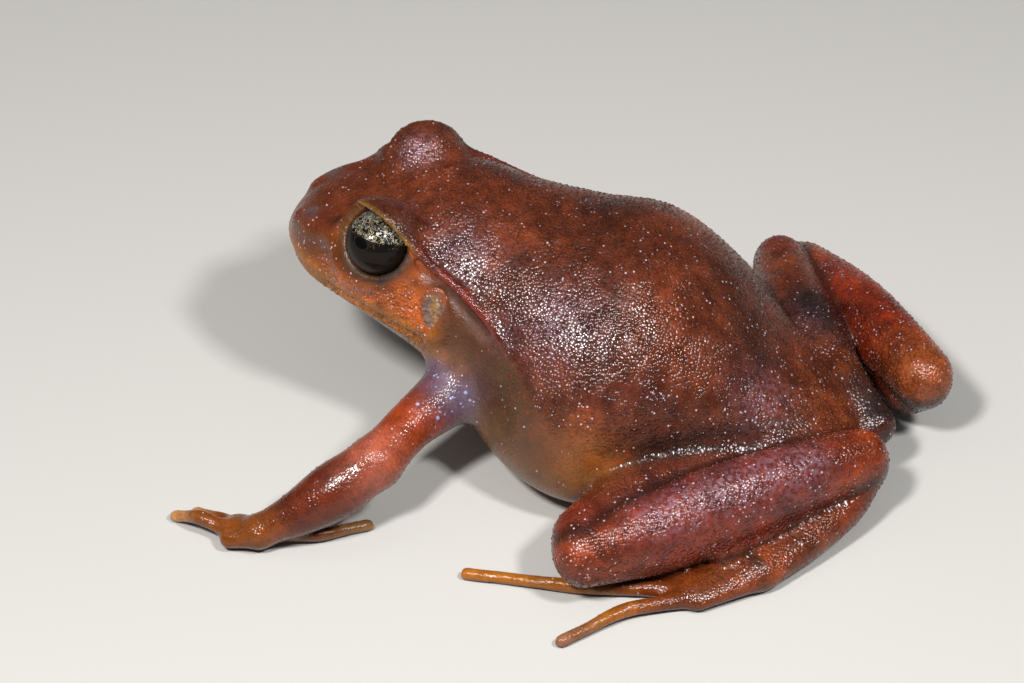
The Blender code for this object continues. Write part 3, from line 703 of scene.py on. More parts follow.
def specksEffect():
    # small round dots, in a share of the cells
    tree, given, give = effect("specks", ("Mask",), Vector=None, Size=0.0003, Share=0.3)
    cell = cellsOf(given, 1.0)
    chosen = parted(cell["Color"])
    lit = calc("LESS_THAN", chosen[0], given["Share"])
    width = ramped(chosen[1], 0.0, 1.0, 0.16, 0.36)
    give("Mask", times(lit, minus(1.0, ramped(calc("DIVIDE", cell["Distance"], width), 0.55, 1.0))))
    return tree


def mottleEffect():
    # uneven dark and light in a colour
    tree, given, give = effect("mottle", ("Color",), Color=None, Vector=None, Size=0.002, Dark=0.6, Light=1.3)
    cloud = noise(given["Vector"], calc("DIVIDE", 1.0, given["Size"]), 3.0, Roughness=0.6, Distortion=0.3)
    amount = ramped(cloud, 0.33, 0.67, given["Dark"], given["Light"], "LINEAR")
    give("Color", wire("VectorMath", {0: given["Color"], "Scale": amount}, operation="SCALE").outputs[0])
    return tree


def wetnessEffect():
    # roughness of a moist film, thinner in some places than in others
    tree, given, give = effect("wetness", ("Roughness",), Vector=None, Size=0.0015, Wettest=0.2, Driest=0.45)
    cloud = noise(given["Vector"], calc("DIVIDE", 1.0, given["Size"]))
    give("Roughness", ramped(cloud, 0.3, 0.7, given["Wettest"], given["Driest"], "LINEAR"))
    return tree


effects = {"granules": granulesEffect(), "specks": specksEffect(),
           "mottle": mottleEffect(), "wetness": wetnessEffect()}


def use(name, **values):
    return addNode(values["Vector"].id_data, "ShaderNodeGroup", values, node_tree=effects[name]).outputs


def dotted(colour, spot, dots, amount=None):
    # small round dots of another colour, in a share of the cells
    size, share, strength, dotColour = dots
    if amount is not None:
        share = times(amount, share)
    return mixed(times(use("specks", Vector=spot, Size=size, Share=share)["Mask"], strength), colour, dotColour)


def wetFilm(spot, look):
    wetness = use("wetness", Vector=spot, Size=look["filmSize"], Wettest=look["wettest"], Driest=look["driest"])
    return wetness["Roughness"]


def newFinish(name, **constants):
    mat = bpy.data.materials.new(name)
    mat.use_nodes = True
    shader = mat.node_tree.nodes["Principled BSDF"]
    for key, value in constants.items():
        shader.inputs[key.replace("_", " ")].default_value = value
    return mat, shader, addNode(mat.node_tree, "ShaderNodeTexCoord", {}).outputs["Object"]


def attribute(mat, name, output="Color"):
    return addNode(mat.node_tree, "ShaderNodeAttribute", {}, attribute_name=name).outputs[output]


def dress(shader, colour, rough, height):
    # heights are in millimetres
    bump = wire("Bump", {"Height": height, "Distance": mm, "Strength": 1.0}).outputs[0]
    for socket, value in (("Base Color", colour), ("Roughness", rough), ("Normal", bump)):
        shader.id_data.links.new(value, shader.inputs[socket])


# the skin's colours
colours = {
    # linear red, green, blue
    "brick": (0.081, 0.017, 0.006), "maroon": (0.040, 0.008, 0.007), "ember": (0.125, 0.026, 0.007),
    "rust": (0.140, 0.027, 0.008), "soot": (0.028, 0.009, 0.005),
    "snoutBrown": (0.120, 0.030, 0.006), "lore": (0.085, 0.024, 0.005), "cheek": (0.400, 0.088, 0.014),
    "lip": (0.270, 0.090, 0.012), "earBrown": (0.062, 0.018, 0.005), "throat": (0.186, 0.087, 0.046),
    # bellySide is the lower side's olive-brown, kept darker as painted shade
    "flank": (0.062, 0.028, 0.010), "flankRed": (0.105, 0.030, 0.010), "bellySide": (0.150, 0.060, 0.014),
    "belly": (0.200, 0.120, 0.075),
    "lilac": (0.090, 0.066, 0.105), "armRed": (0.190, 0.028, 0.005), "elbow": (0.270, 0.064, 0.036),
    "forearm": (0.085, 0.013, 0.004), "hand": (0.170, 0.044, 0.005), "fingertip": (0.420, 0.190, 0.060),
    # the first colour on the next line is painted shade, for the soles and the thumb
    "soleAndThumbShade": (0.020, 0.010, 0.006), "thigh": (0.075, 0.014, 0.006), "ash": (0.016, 0.012, 0.012),
    "shank": (0.108, 0.014, 0.006), "knee": (0.190, 0.030, 0.007), "farRed": (0.149, 0.016, 0.004),
    "heel": (0.205, 0.046, 0.011), "tarsus": (0.125, 0.025, 0.006), "foot": (0.135, 0.028, 0.005),
    "toe": (0.290, 0.092, 0.007), "tip": (0.230, 0.090, 0.040), "crimson": (0.430, 0.008, 0.020),
    "gold": (0.260, 0.143, 0.015), "smoke": (0.011, 0.007, 0.004), "nose": (0.075, 0.060, 0.064),
    # the last colour on the next line is painted shade, for grooves, the nostril's hole and the crease over the
    # drum
    "lidBrown": (0.085, 0.032, 0.007), "grey": (0.093, 0.071, 0.065), "paintedShade": (0.015, 0.005, 0.003),
}
bodyColours = {
    # y and colour along the body: the side, the lower side, the underside, the back
    "side": ((-20, "snoutBrown"), (-17, "snoutBrown"), (-14, "cheek"), (-9, "cheek"), (-6.5, "earBrown"),
             (-2, "flank"), (1, "flankRed"), (16, "flank")),
    "low": ((-20, "lip"), (-9, "lip"), (-6, "bellySide"), (16, "bellySide")),
    "under": ((-20, "throat"), (-6, "throat"), (2, "belly"), (20, "belly")),
    "back": ((-20, "snoutBrown"), (-17, "brick"), (20, "brick")),
}
# how high on the side the dark back begins, from snout to vent: y, z, softness
sideTop = ((-21.0, 14.8, 0.7), (-18.5, 15.1, 0.6), (-16.9, 15.6, 0.4), (-14.6, 16.3, 0.35), (-12.0, 17.0, 0.3),
           (-9.9, 16.7, 0.2), (-8.0, 15.75, 0.2), (-6.2, 14.8, 0.2), (-4.0, 13.4, 0.2), (-1.7, 11.6, 0.35),
           (0.4, 9.6, 1.2), (2.0, 8.3, 1.8), (4.6, 7.2, 2.0), (9.0, 6.5, 1.8), (15.0, 4.8, 1.5),
           (20.0, 3.6, 1.5))
limbColours = {
    "upperArm": ("lilac", "lilac", "armRed", "armRed", "elbow"),
    "forearm": ("elbow", "forearm", "forearm", "hand"),
    "palm": ("hand", "hand"), "finger": ("hand", "hand", "fingertip"),
    "thigh": ("ash", "thigh", "thigh", "shank"), "shank": ("knee", "shank", "shank", "shank", "knee"),
    "tarsus": ("shank", "tarsus", "tarsus"), "instep": ("tarsus", "foot"),
    "toe": ("foot", "foot", "toe", "tip"), "longToe": ("foot", "foot", "toe", "toe", "toe"),
}
rightColours = {
    "thigh": ("ash", "thigh", "thigh", "ember", "farRed"),
    "shank": ("heel", "farRed", "farRed", "farRed", "heel"),
}
limbMarks = {
    # grain, white dots and wetness of the limb parts; the white dots are pale granules and painted glints
    "upperArm": (0.55, 0.06, 0.8), "forearm": (0.55, 0.06, 0.7), "palm": (0.55, 0.05, 0.5),
    "finger": (0.4, 0.03, 0.5), "thigh": (0.9, 0.22, 0.8), "shank": (1.0, 0.4, 0.85),
    "tarsus": (1.0, 0.25, 0.6), "instep": (0.9, 0.15, 0.45), "toe": (0.5, 0.05, 0.5),
    "longToe": (0.3, 0.03, 0.4),
}
# marks on the skin end with their grain, white dots (pale granules and painted glints) and wetness, or None to
# leave those as they are
creases = (
    # path, width, colour, amount: between belly and thigh, left and right
    (((10.6, 7.2, 7.3), (9.0, 9.6, 7.6), (7.6, 11.9, 7.7), (6.3, 14.2, 7.6), (4.9, 16.4, 7.3)),
     0.9, "ash", 0.7, (0.8, 0.6, 0.8)),
    (((-8.2, 13.9, 7.2), (-6.2, 15.2, 7.3), (-4.0, 17.0, 6.9), (-2.2, 19.0, 5.9), (0.2, 20.6, 5.0)),
     1.5, "ash", 0.9, (1.0, 0.35, 0.5)),
)
blots = (
    # spots on both sides: place, reach, colour, amount
    ((9.4, -5.7, 8.4), 2.0, "lilac", 0.95, (0.4, 0.1, 0.45)),
    ((2.4, -17.7, 15.7), 0.6, "nose", 0.95, (0.05, 0.0, 0.9)),
    ((5.6, -10.6, 17.6), 1.0, "grey", 0.6, (1.0, 1.0, 0.8)),
    ((4.3, -11.3, 18.6), 1.6, "ember", 0.5, None),
    ((6.9, -8.9, 15.0), 1.0, "earBrown", 0.9, (0.1, 0.0, 0.15)),
    ((8.2, -5.2, 11.9), 2.0, "earBrown", 0.75, (0.25, 0.1, 0.15)),
    ((8.3, -5.6, 10.1), 1.2, "bellySide", 0.45, None),
    ((7.3, 1.5, 14.3), 3.6, "maroon", 0.75, (1.0, 0.75, 0.9)),
    ((4.9, -6.0, 16.3), 2.6, "maroon", 0.6, (1.0, 0.7, 0.9)),
    ((10.5, 5.2, 10.2), 3.0, "maroon", 0.5, None),
    ((2.6, 17.0, 7.2), 2.4, "ember", 0.8, (1.0, 0.9, 0.9)),
    ((5.2, 12.6, 9.8), 2.2, "maroon", 0.55, (1.0, 0.9, 0.9)),
    ((0.0, -11.8, 16.8), 2.0, "ember", 0.4, None),
    ((15.4, -9.6, 6.4), 1.0, "elbow", 0.75, (0.3, 0.3, 0.4)),
    ((1.8, 20.8, 2.6), 1.9, "ash", 0.9, (0.9, 0.3, 0.5)),
    ((5.6, 6.5, 14.8), 3.0, "rust", 0.6, None),
    ((3.5, -4.5, 16.8), 2.2, "rust", 0.35, None),
    ((0.0, 2.5, 17.0), 3.2, "soot", 0.5, None),
    ((3.8, 11.5, 11.8), 2.6, "soot", 0.45, None),
    # the lower flank by the thigh: its own orange, brightened as painted light where the thigh shades it
    ((11.3, 3.4, 7.2), 2.4, "cheek", 0.22, (0.6, 0.35, 0.6)),
    # painted shade: the belly's front, low down, darkened with the flank's olive-brown
    ((10.6, -1.0, 6.5), 3.0, "flank", 0.5, None),
    # more orange low on the flank: its own colour, brightened as painted light where the thigh shades it
    ((11.5, 3.6, 6.4), 2.2, "lip", 0.5, (0.4, 0.2, 0.5)),
    ((3.5, 14.5, 8.9), 3.0, "brick", 0.2, (1.0, 0.8, 0.9)),
)
stripes = (
    # on both sides: path, lift, width, colour, amount
    (body["canthus"], 0.25, 0.45, "crimson", 0.12, None),
    (lipPath(1), 0.45, 0.42, "lip", 0.85, (0.45, 0.02, 0.15)),
    (((6.7, -7.8, 14.7), (6.9, -6.3, 14.1), (7.2, -5.3, 13.2), (8.4, -3.6, 11.5)),    # under the fold
     0.0, 0.8, "earBrown", 0.95, (0.0, 0.05, 0.05)),
    # painted shade in a thin line under the fold, over the drum
    (((6.5, -9.2, 14.4), (6.9, -8.0, 14.75), (7.3, -6.8, 14.4)),                      # over the drum
     0.0, 0.22, "paintedShade", 0.75, None),
    (body["fold"], 0.0, 0.2, "crimson", 0.95, (0.3, 0.0, 0.6)),
)
pearlPatch = ((9.4, -6.2, 8.6), 1.5)   # place and reach of the blue-white dots by the shoulder
# where a lilac sheen is painted on the skin as its broad wet highlights: place, reach, amount, and a path along
# the left shank
paintedSheenSpots = (((5.2, -6.4, 16.0), 2.0, 0.5), ((8.0, 0.6, 14.0), 2.2, 0.6), ((5.2, 13.8, 9.0), 1.9, 0.55),
          ((2.9, -11.7, 18.1), 1.1, 0.9), ((8.7, -3.4, 12.9), 1.2, 0.4))
paintedShankSheen = (((15.6, 9.2, 6.6), (12.6, 12.6, 7.0), (8.2, 17.4, 6.8)), 1.5, 0.9)


def smooth(value, low, high):
    t = np.clip((value - low) / (high - low), 0, 1)
    return t * t * (3 - 2 * t)


def near(points, centre, reach):
    return np.exp(-(((points - np.asarray(centre)) / reach) ** 2).sum(axis=1))


def alongPath(points, path, width):
    best = np.full(len(points), 99.0)
    path = np.asarray(path, float)
    for a, b in zip(path[:-1], path[1:]):
        t = np.clip(((points - a) @ (b - a)) / ((b - a) @ (b - a)), 0, 1)
        best = np.minimum(best, np.linalg.norm(points - a - t[:, None] * (b - a), axis=1))
    return np.exp(-(best / width) ** 2)


def readOff(rows, at, *columns):
    table = np.array(rows, float)
    return [np.interp(at, table[:, 0], table[:, k]) for k in columns]


def blend(at, *stops):
    # colours read off between stops along the body
    places, names = zip(*stops)
    table = np.array([colours[n] for n in names])
    return np.column_stack([np.interp(at, places, table[:, k]) for k in range(3)])


def shareOfBack(points, mirrored, overLid, aboutEye):
    y, z = points[:, 1], points[:, 2]
    top, soft = readOff(sideTop, y, 1, 2)
    wobble = (np.sin(y * 1.9 + z * 0.7) * 0.5 + np.sin(y * 4.3 - z * 2.1 + 1.0) * 0.35
              + np.sin(y * 7.7 + z * 5.1) * 0.2)
    back = smooth((z - top + wobble * smooth(y, -1.5, 1.5)) / soft, -0.8, 0.8)
    # between the ridges the head's top is as dark as the back
    ridge = np.interp(y, (-18.5, -16.9, -14.6, -12.0), (1.9, 3.4, 4.6, 5.5))
    inner = smooth(ridge - mirrored[:, 0], -0.2, 0.5) * smooth(z, 13.6, 14.6) * smooth(y, -10.0, -12.0)
    back = np.maximum(back, inner)
    # the upper lid's edge divides the colours round the eye
    return back + (smooth(overLid, -0.1, 0.25) - back) * aboutEye


def trunkPaint(points, normals, back):
    y, z = points[:, 1], points[:, 2]
    side, low, under, dorsal = (blend(y, *bodyColours[zone]) for zone in ("side", "low", "under", "back"))
    level = np.where(y < -8, readOff(body["mouth"], y, 1)[0], np.interp(y, (-8, -4, 0), (10.3, 6.5, 4.5)))
    share = smooth(z, level + 0.1, level + np.where(y < -8, 1.5, 3.5))
    side = low + (side - low) * share[:, None]
    upperLore = smooth(z, 13.0, 14.6) * smooth(y, -11.0, -13.5)
    side += (np.array(colours["lore"]) - side) * upperLore[:, None] * 0.75
    below = smooth(-normals[:, 2], 0.25, 0.8) * smooth(z, level + 0.6, level - 0.8)
    side += (under - side) * below[:, None]
    tint = side + (dorsal - side) * back[:, None]
    headBack = np.interp(y, (-19, -15, -8), (0.35, 0.7, 1.0))
    # white dots on the head's side, most on the cheek: pale granules, and painted glints
    sprinkled = 0.1 + 0.3 * smooth(y, -9.0, -12.0)
    marks = np.column_stack([0.3 + (headBack - 0.3) * back, sprinkled + (0.24 - sprinkled) * back,
                             0.55 + 0.15 * back])
    cheek = smooth(y, -17.5, -15.5) * smooth(y, -7.5, -9.0) * (1 - back) * smooth(z, 15.0, 13.4)
    marks += (np.array((0.85, 0.75, 0.8)) - marks) * cheek[:, None]
    marks[:, :2] *= (1 - 0.8 * below)[:, None]
    return tint, marks


def limbParts(name):
    limb = limbs[name]
    parts = [(key, evenly(limb[key], 20))
             for key in ("upperArm", "forearm", "palm", "thigh", "shank", "tarsus", "instep")]
    for kind, key in (("finger", "fingers"), ("toe", "toes")):
        parts += [("longToe" if kind == "toe" and index == 3 else kind, digitRows(points)[::2])
                  for index, points in enumerate(digits[name][key])]
    return parts


def withLimbPaint(points, tint, marks):
    # each part's share falls off with the distance from its surface
    x, y, z = points.T
    middle, wide, level, rise, drop = readOff(body["rows"], y, 1, 2, 3, 4, 5)
    oval = np.sqrt(((x - middle) / wide) ** 2 + ((z - level) / np.where(z > level, rise, drop)) ** 2)
    gap = (oval - 1) * np.minimum(wide, rise)
    gap += 2.0 * smooth(y, 17.0, 21.0) + 3.0 * smooth(np.abs(y - 0.5), 19.0, 22.0)
    gaps, tints, allMarks = [gap], [tint], [marks]
    for name, known in (("left", limbColours), ("right", {**limbColours, **rightColours})):
        for kind, stations in limbParts(name):
            away = np.linalg.norm(points[:, None, :] - stations[None, :, :3], axis=2)
            away = away - stations[:, 3:5].mean(axis=1)
            share = away.argmin(axis=1) / (len(stations) - 1)
            gaps.append(away.min(axis=1))
            tints.append(blend(share, *zip(np.linspace(0, 1, len(known[kind])), known[kind])))
            allMarks.append(np.tile(limbMarks[kind], (len(points), 1)))
    gaps = np.array(gaps)
    closest, second = np.sort(gaps, axis=0)[:2]
    # painted shade along the grooves where two parts meet
    grooveShade = np.exp(-((second - closest) / 0.42) ** 2) * smooth(z, 1.2, 2.4) * smooth(y, 0.0, 4.0)
    shares = np.exp(-(gaps - gaps.min(axis=0)) / 0.3)
    shares /= shares.sum(axis=0)
    tint, marks = (np.einsum("kn,knc->nc", shares, np.array(layer)) for layer in (tints, allMarks))
    return tint, marks, shares[0], grooveShade


def skinPaint(points, normals):
    mirrored = points.copy()
    mirrored[:, 0] = np.abs(points[:, 0])
    y, z = points[:, 1], points[:, 2]
    overLid = overLidEdge(mirrored.T, 1)
    fromEye = np.linalg.norm(mirrored - np.array(eyes["centre"]), axis=1)
    outward = (mirrored - np.array(eyes["centre"])) @ unit(eyes["out"])
    back = shareOfBack(points, mirrored, overLid, smooth(fromEye, 3.9, 3.0) * smooth(outward, 0.1, 0.9))
    tint, marks = trunkPaint(points, normals, back)
    tint, marks, trunkShare, grooveShade = withLimbPaint(points, tint, marks)

    def lay(mask, colour, amount, change=None):
        nonlocal tint, marks
        mask = (mask * amount)[:, None]
        tint = tint + (np.array(colours[colour]) - tint) * mask
        if change is not None:
            marks = marks + (np.array(change) - marks) * mask

    # painted shade laid into the grooves
    lay(grooveShade, "paintedShade", 0.85, (0.4, 0.3, 0.8))
    for path, width, colour, amount, change in creases:
        lay(alongPath(points, path, width), colour, amount, change)
    # painted shade on the limbs' undersides, the soles
    lay(smooth(-normals[:, 2], 0.35, 0.9) * (1 - trunkShare), "soleAndThumbShade", 0.55, (0.2, 0.0, 0.4))   # soles
    for spot, reach, colour, amount, change in blots:
        keepTo = back if colour in ("maroon", "ember") else (1 - back if colour == "earBrown" else 1.0)
        lay(near(mirrored, spot, reach) * keepTo, colour, amount, change)
    for sign, name in ((1, "left"), (-1, "right")):
        for path, lift, width, colour, amount, change in stripes:
            mask = alongPath(points, [sided((px, py, pz + lift), sign) for px, py, pz in path], width)
            lay(mask * (1 - 0.4 * back) if colour == "earBrown" else mask, colour, amount, change)
        # painted shade on the thumb, under the forearm
        lay(alongPath(points, digits[name]["fingers"][0], 0.7), "soleAndThumbShade", 0.6)
    # painted shade in the nostril's hole
    lay(near(mirrored, np.array(body["nostril"]) + face["holeShift"], 0.3), "paintedShade", 0.9, (0.9, 0.0, 0.2))
    # the lids: a golden edge above, smoky skin behind and below the ball, and a brown ring next to the ball
    # below: the lid's own brown, darkened as painted shade where lid meets ball
    edge, under = np.exp(-((overLid - 0.05) / 0.2) ** 2), smooth(overLid, 0.0, -0.3)
    behind = smooth(mirrored[:, 1], -12.2, -10.6) + 0.6 * smooth(z, 15.4, 14.2)
    lay(edge * smooth(fromEye, 3.7, 3.1) * smooth(outward, 0.5, 1.0), "gold", 0.65, (0.5, 0.5, 0.7))
    # painted shade, over the lid's own brown, in the ring where the lower lid meets the ball
    lay(smooth(fromEye, 2.9, 2.6) * under, "lidBrown", 0.9, (0.3, 0.0, 0.2))
    lay(smooth(fromEye, 3.5, 2.7) * under * np.clip(behind, 0, 1), "smoke", 0.92, (0.05, 0.0, 0.1))

    ruddy = trunkShare * (1 - back) * smooth(y, -4.5, -1.0) * smooth(z, 2.0, 5.0)
    pearls = near(mirrored, *pearlPatch)
    # painted sheen: lilac highlights painted where the lamps catch the wet skin, kept off the fold
    shine = sum(near(mirrored, spot, reach) * amount for spot, reach, amount in paintedSheenSpots)
    shine *= 1 - alongPath(mirrored, body["fold"], 0.4)
    shine += paintedShankSheen[2] * alongPath(points, *paintedShankSheen[:2])
    spots = np.column_stack([ruddy, pearls, shine])
    return {"tint": np.clip(tint, 0, 1), "marks": np.clip(marks, 0, 1), "spots": np.clip(spots, 0, 1)}


skinLook = {
    # granule sizes in metres; bump heights in millimetres; roughness where the film is thick and thin
    "coarse": 0.00021, "fine": 0.00013, "domes": (0.018, 0.052), "fineHeight": (0.010, 0.002), "least": 0.006,
    "foldHeight": (0.05, 0.06),
    "filmSize": 0.0012, "wettest": 0.15, "driest": 0.32,
    # painted shade for the hollows between granules, then a painted lilac sheen
    "hollow": (0.008, 0.002, 0.002, 1.0), "paintedSheen": (0.20, 0.105, 0.135, 1.0),
    # dots: size in metres, how many, how strong, colour
    "red": (0.00032, 0.8, 0.75, (0.28, 0.016, 0.006, 1.0)),
    # the white dots: pale granules, and painted glints of the wet skin
    "paleDotsAndGlints": (0.00024, 1.0, 0.75, (0.52, 0.45, 0.54, 1.0)),
    "pearls": (0.00045, 1.5, 0.85, (0.27, 0.30, 0.52, 1.0)),
    # clouding: size in metres, darkest, lightest
    "clouds": ((0.0042, 0.55, 1.42), (0.0012, 0.66, 1.32)), "warmth": (1.5, 1.3, 0.8),
}


def skinColour(spot, tint, cloudy):
    # the zone's own colour, clouded, with darker and redder patches
    colour = tint
    for size, dark, light in skinLook["clouds"]:
        colour = use("mottle", Color=colour, Vector=spot, Size=size, Dark=dark, Light=light)["Color"]
    patches = noise(spot, 330.0, 3.0, Roughness=0.65)
    warm = wire("VectorMath", {0: colour, 1: skinLook["warmth"]}, operation="MULTIPLY").outputs[0]
    return mixed(cloudy, tint, mixed(ramped(patches, 0.5, 0.66, 0.0, 0.6), colour, warm))


def skinFinish():
    look = skinLook
    mat, shader, spot = newFinish("wetGranularSkin", IOR=1.45, Specular_IOR_Level=0.5, Subsurface_Weight=0.08,
                                  Subsurface_Scale=0.0006, Subsurface_Radius=(1.0, 0.3, 0.16))
    grain, speck, wet = parted(attribute(mat, "marks"))
    ruddy, pearls, paintedSheen = parted(attribute(mat, "spots"))
    coarse = use("granules", Vector=spot, Size=look["coarse"])
    fine = use("granules", Vector=spot, Size=look["fine"])
    colour = skinColour(spot, attribute(mat, "tint"), ramped(grain, 0.3, 0.9, 0.45, 1.0))
    colour = dotted(colour, spot, look["red"], ruddy)
    # painted shade in the hollows between the coarse granules
    colour = mixed(times(coarse["Hollow"], times(grain, 0.4)), colour, look["hollow"])
    # a painted lilac sheen, broken up, where the wet skin's highlights fall
    paintedSheen = times(paintedSheen, ramped(noise(spot, 2600.0), 0.4, 0.62, 0.15, 0.8))
    colour = mixed(paintedSheen, colour, look["paintedSheen"])
    # white dots, in clusters: pale granules, and painted glints
    clustered = times(speck, ramped(noise(spot, 560.0), 0.42, 0.62, 0.08, 1.3))
    for kind, amount in (("paleDotsAndGlints", clustered), ("pearls", pearls)):
        colour = dotted(colour, spot, look[kind], amount)
    rough = wetFilm(spot, look)
    dry = calc("POWER", minus(1.0, wet), 4.0)
    rough = plus(times(rough, ramped(dry, 0.0, 1.0, 0.85, 3.0)), times(coarse["Hollow"], 0.06))
    # domes of uneven height, fine granules between them, and soft folds
    folds = noise(spot, 420.0, 1.0, Distortion=0.3)
    tall = times(grain, ramped(noise(spot, 700.0, 1.0), 0.35, 0.65, *look["domes"]))
    height = times(coarse["Height"], plus(tall, look["least"]))
    height = plus(height, times(fine["Height"], ramped(grain, 0.2, 0.7, *look["fineHeight"])))
    level, more = look["foldHeight"]
    height = plus(height, times(folds, plus(times(grain, more), level)))
    dress(shader, colour, rough, height)
    return mat


# granules: small wet domes scattered over the back, head and legs
granules = {
    "spacing": 0.34, "smallest": 0.05, "largest": 0.11, "flatness": 0.5, "seed": 7, "density": 2.0e7,
    "dots": (0.0005, 0.12, 0.6, (0.40, 0.31, 0.34, 1.0)), "fine": 0.00012, "fineHeight": 0.008,
    "filmSize": 0.0012, "wettest": 0.12, "driest": 0.26,
    # least size, and what white specks add to it; from which grain and height in mm the domes grow
    "swell": (0.8, 0.9), "fromGrain": (0.35, 0.9), "fromFloor": (0.6, 1.6),
}


def granuleFinish():
    mat, shader, spot = newFinish("wetGranules", IOR=1.4, Specular_IOR_Level=0.5)
    colour = dotted(skinColour(spot, attribute(mat, "tint"), 1.0), spot, granules["dots"])
    rough = wetFilm(spot, granules)
    fine = use("granules", Vector=spot, Size=granules["fine"])
    dress(shader, colour, rough, times(fine["Height"], granules["fineHeight"]))
    return mat


def scatterTree():
    tree = bpy.data.node_groups.new("granuleScatter", "GeometryNodeTree")
    kinds = {"Geometry": "Geometry", "Spacing": "Float", "Smallest": "Float", "Largest": "Float",
             "Flatness": "Float", "Seed": "Int", "Finish": "Material"}
    sockets = {}
    for label, kind in kinds.items():
        socket = tree.interface.new_socket(label, in_out="INPUT", socket_type="NodeSocket" + kind)
        sockets[label] = socket.identifier
    tree.interface.new_socket("Geometry", in_out="OUTPUT", socket_type="NodeSocketGeometry")
    given, result = tree.nodes.new("NodeGroupInput").outputs, tree.nodes.new("NodeGroupOutput").inputs

    def step(kind, inputs, **settings):
        return addNode(tree, kind, inputs, **settings).outputs

    def named(name):
        return step("GeometryNodeInputNamedAttribute", {"Name": name}, data_type="FLOAT")[0]

    spots = step("GeometryNodeDistributePointsOnFaces",
                 {"Mesh": given["Geometry"], "Distance Min": given["Spacing"],
                  "Density Max": granules["density"], "Density Factor": named("scatter"),
                  "Seed": given["Seed"]}, distribute_method="POISSON")
    size = step("FunctionNodeRandomValue", {2: given["Smallest"], 3: given["Largest"], "Seed": given["Seed"]},
                data_type="FLOAT")[1]
    size = step("ShaderNodeMath", {0: size, 1: named("swell")}, operation="MULTIPLY")[0]
    low = step("ShaderNodeMath", {0: size, 1: given["Flatness"]}, operation="MULTIPLY")[0]
    shape = step("ShaderNodeCombineXYZ", {"X": size, "Y": size, "Z": low})[0]
    ball = step("GeometryNodeMeshIcoSphere", {"Radius": 1.0, "Subdivisions": 1})[0]
    placed = step("GeometryNodeInstanceOnPoints", {"Points": spots["Points"], "Instance": ball,
                                                   "Rotation": spots["Rotation"], "Scale": shape})[0]
    real = step("GeometryNodeRealizeInstances", {"Geometry": placed})[0]
    rounded = step("GeometryNodeSetShadeSmooth", {"Geometry": real})[0]
    done = step("GeometryNodeSetMaterial", {"Geometry": rounded, "Material": given["Finish"]})[0]
    tree.links.new(done, result[0])
    return tree, sockets


def makeGranules(skin):
    tree, sockets = scatterTree()
    finish = granuleFinish()
    bed = bpy.data.objects.new("granuleBed", skin.data)
    bpy.context.scene.collection.objects.link(bed)
    scatter = bed.modifiers.new("scatter", "NODES")
    scatter.node_group = tree
    for name in ("spacing", "smallest", "largest"):
        scatter[sockets[name.capitalize()]] = granules[name] * mm
    scatter[sockets["Flatness"]], scatter[sockets["Seed"]] = granules["flatness"], granules["seed"]
    scatter[sockets["Finish"]] = finish
    shown = bed.evaluated_get(bpy.context.evaluated_depsgraph_get())
    mesh = bpy.data.meshes.new_from_object(shown)
    mesh.name = "granules"
    bpy.data.objects.remove(bed)
    mesh.materials.clear()
    mesh.materials.append(finish)
    mesh.polygons.foreach_set("material_index", np.zeros(len(mesh.polygons), np.int32))
    made = bpy.data.objects.new("granules", mesh)
    bpy.context.scene.collection.objects.link(made)
    return made


eyeLook = {
    "dark": (0.0045, 0.0040, 0.0035, 1.0), "silver": (0.34, 0.33, 0.28, 1.0), "gold": (0.30, 0.23, 0.11, 1.0),
    "pupil": (0.0012, 0.0012, 0.0016, 1.0), "pupilRing": (0.10, 0.06, 0.02, 1.0),
    "smoke": (0.0065, 0.0040, 0.0024, 1.0), "smokeRings": (0.020, 0.012, 0.006, 1.0),
    "smokeCentre": (-1.3, 0.5, 1.6),              # the middle of the faint rings in the smoky lower half
    "dustSize": 0.00014, "dust": (0.24, 0.15, 0.05, 1.0),
    "lineHeight": 0.3, "lineClimb": 0.45,         # the lower edge of the silvery part over the pupil
    "laceSize": 3000.0, "laceHeight": 0.03, "shine": 0.5,
    "filmSize": 0.0004, "wettest": 0.34, "driest": 0.48,
}


def eyeFrame(side):
    gaze = unit(sided(eyes["gaze"], side))
    brow = unit(sided(eyes["brow"], side))
    up = unit(brow - (brow @ gaze) * gaze)
    forward = np.cross(up, gaze)
    return forward * (-1 if forward[1] > 0 else 1), up, gaze


def facedOut(quads, caps, right, up, onward):
    # onward is the way the rings go; where their turn runs against it, the faces are turned back
    if np.cross(right, up) @ onward < 0:
        return quads[:, ::-1], caps[:, ::-1]
    return quads, caps


def makeEye(name, side, finish):
    forward, up, gaze = eyeFrame(side)
    lean = np.linspace(0, math.pi, 66)[1:-1]
    turn = np.linspace(0, 2 * math.pi, 96, endpoint=False)
    reach = eyes["radius"] - eyes["gap"] + eyes["cornea"] * np.exp(-(lean / 0.6) ** 2)
    c, s = np.cos(turn), np.sin(turn)
    rings = [np.column_stack([np.sin(a) * c, np.sin(a) * s, np.full_like(turn, np.cos(a))]) for a in lean]
    local = np.vstack([[(0, 0, 1)], *rings, [(0, 0, -1)]])
    lengths = np.concatenate([[reach[0]], np.repeat(reach, len(turn)), [reach[-1]]])
    points = eyeball(side) + (local * lengths[:, None]) @ np.array([forward, up, gaze])
    faces = ringsToShell(rings, (0, 0, 1), (0, 0, -1))[1:]
    obj = newMesh(name, points, *facedOut(*faces, forward, up, -gaze))
    keep(obj.data, "iris", "FLOAT_VECTOR", local * eyes["radius"])
    obj.data.materials.append(finish)
    return obj


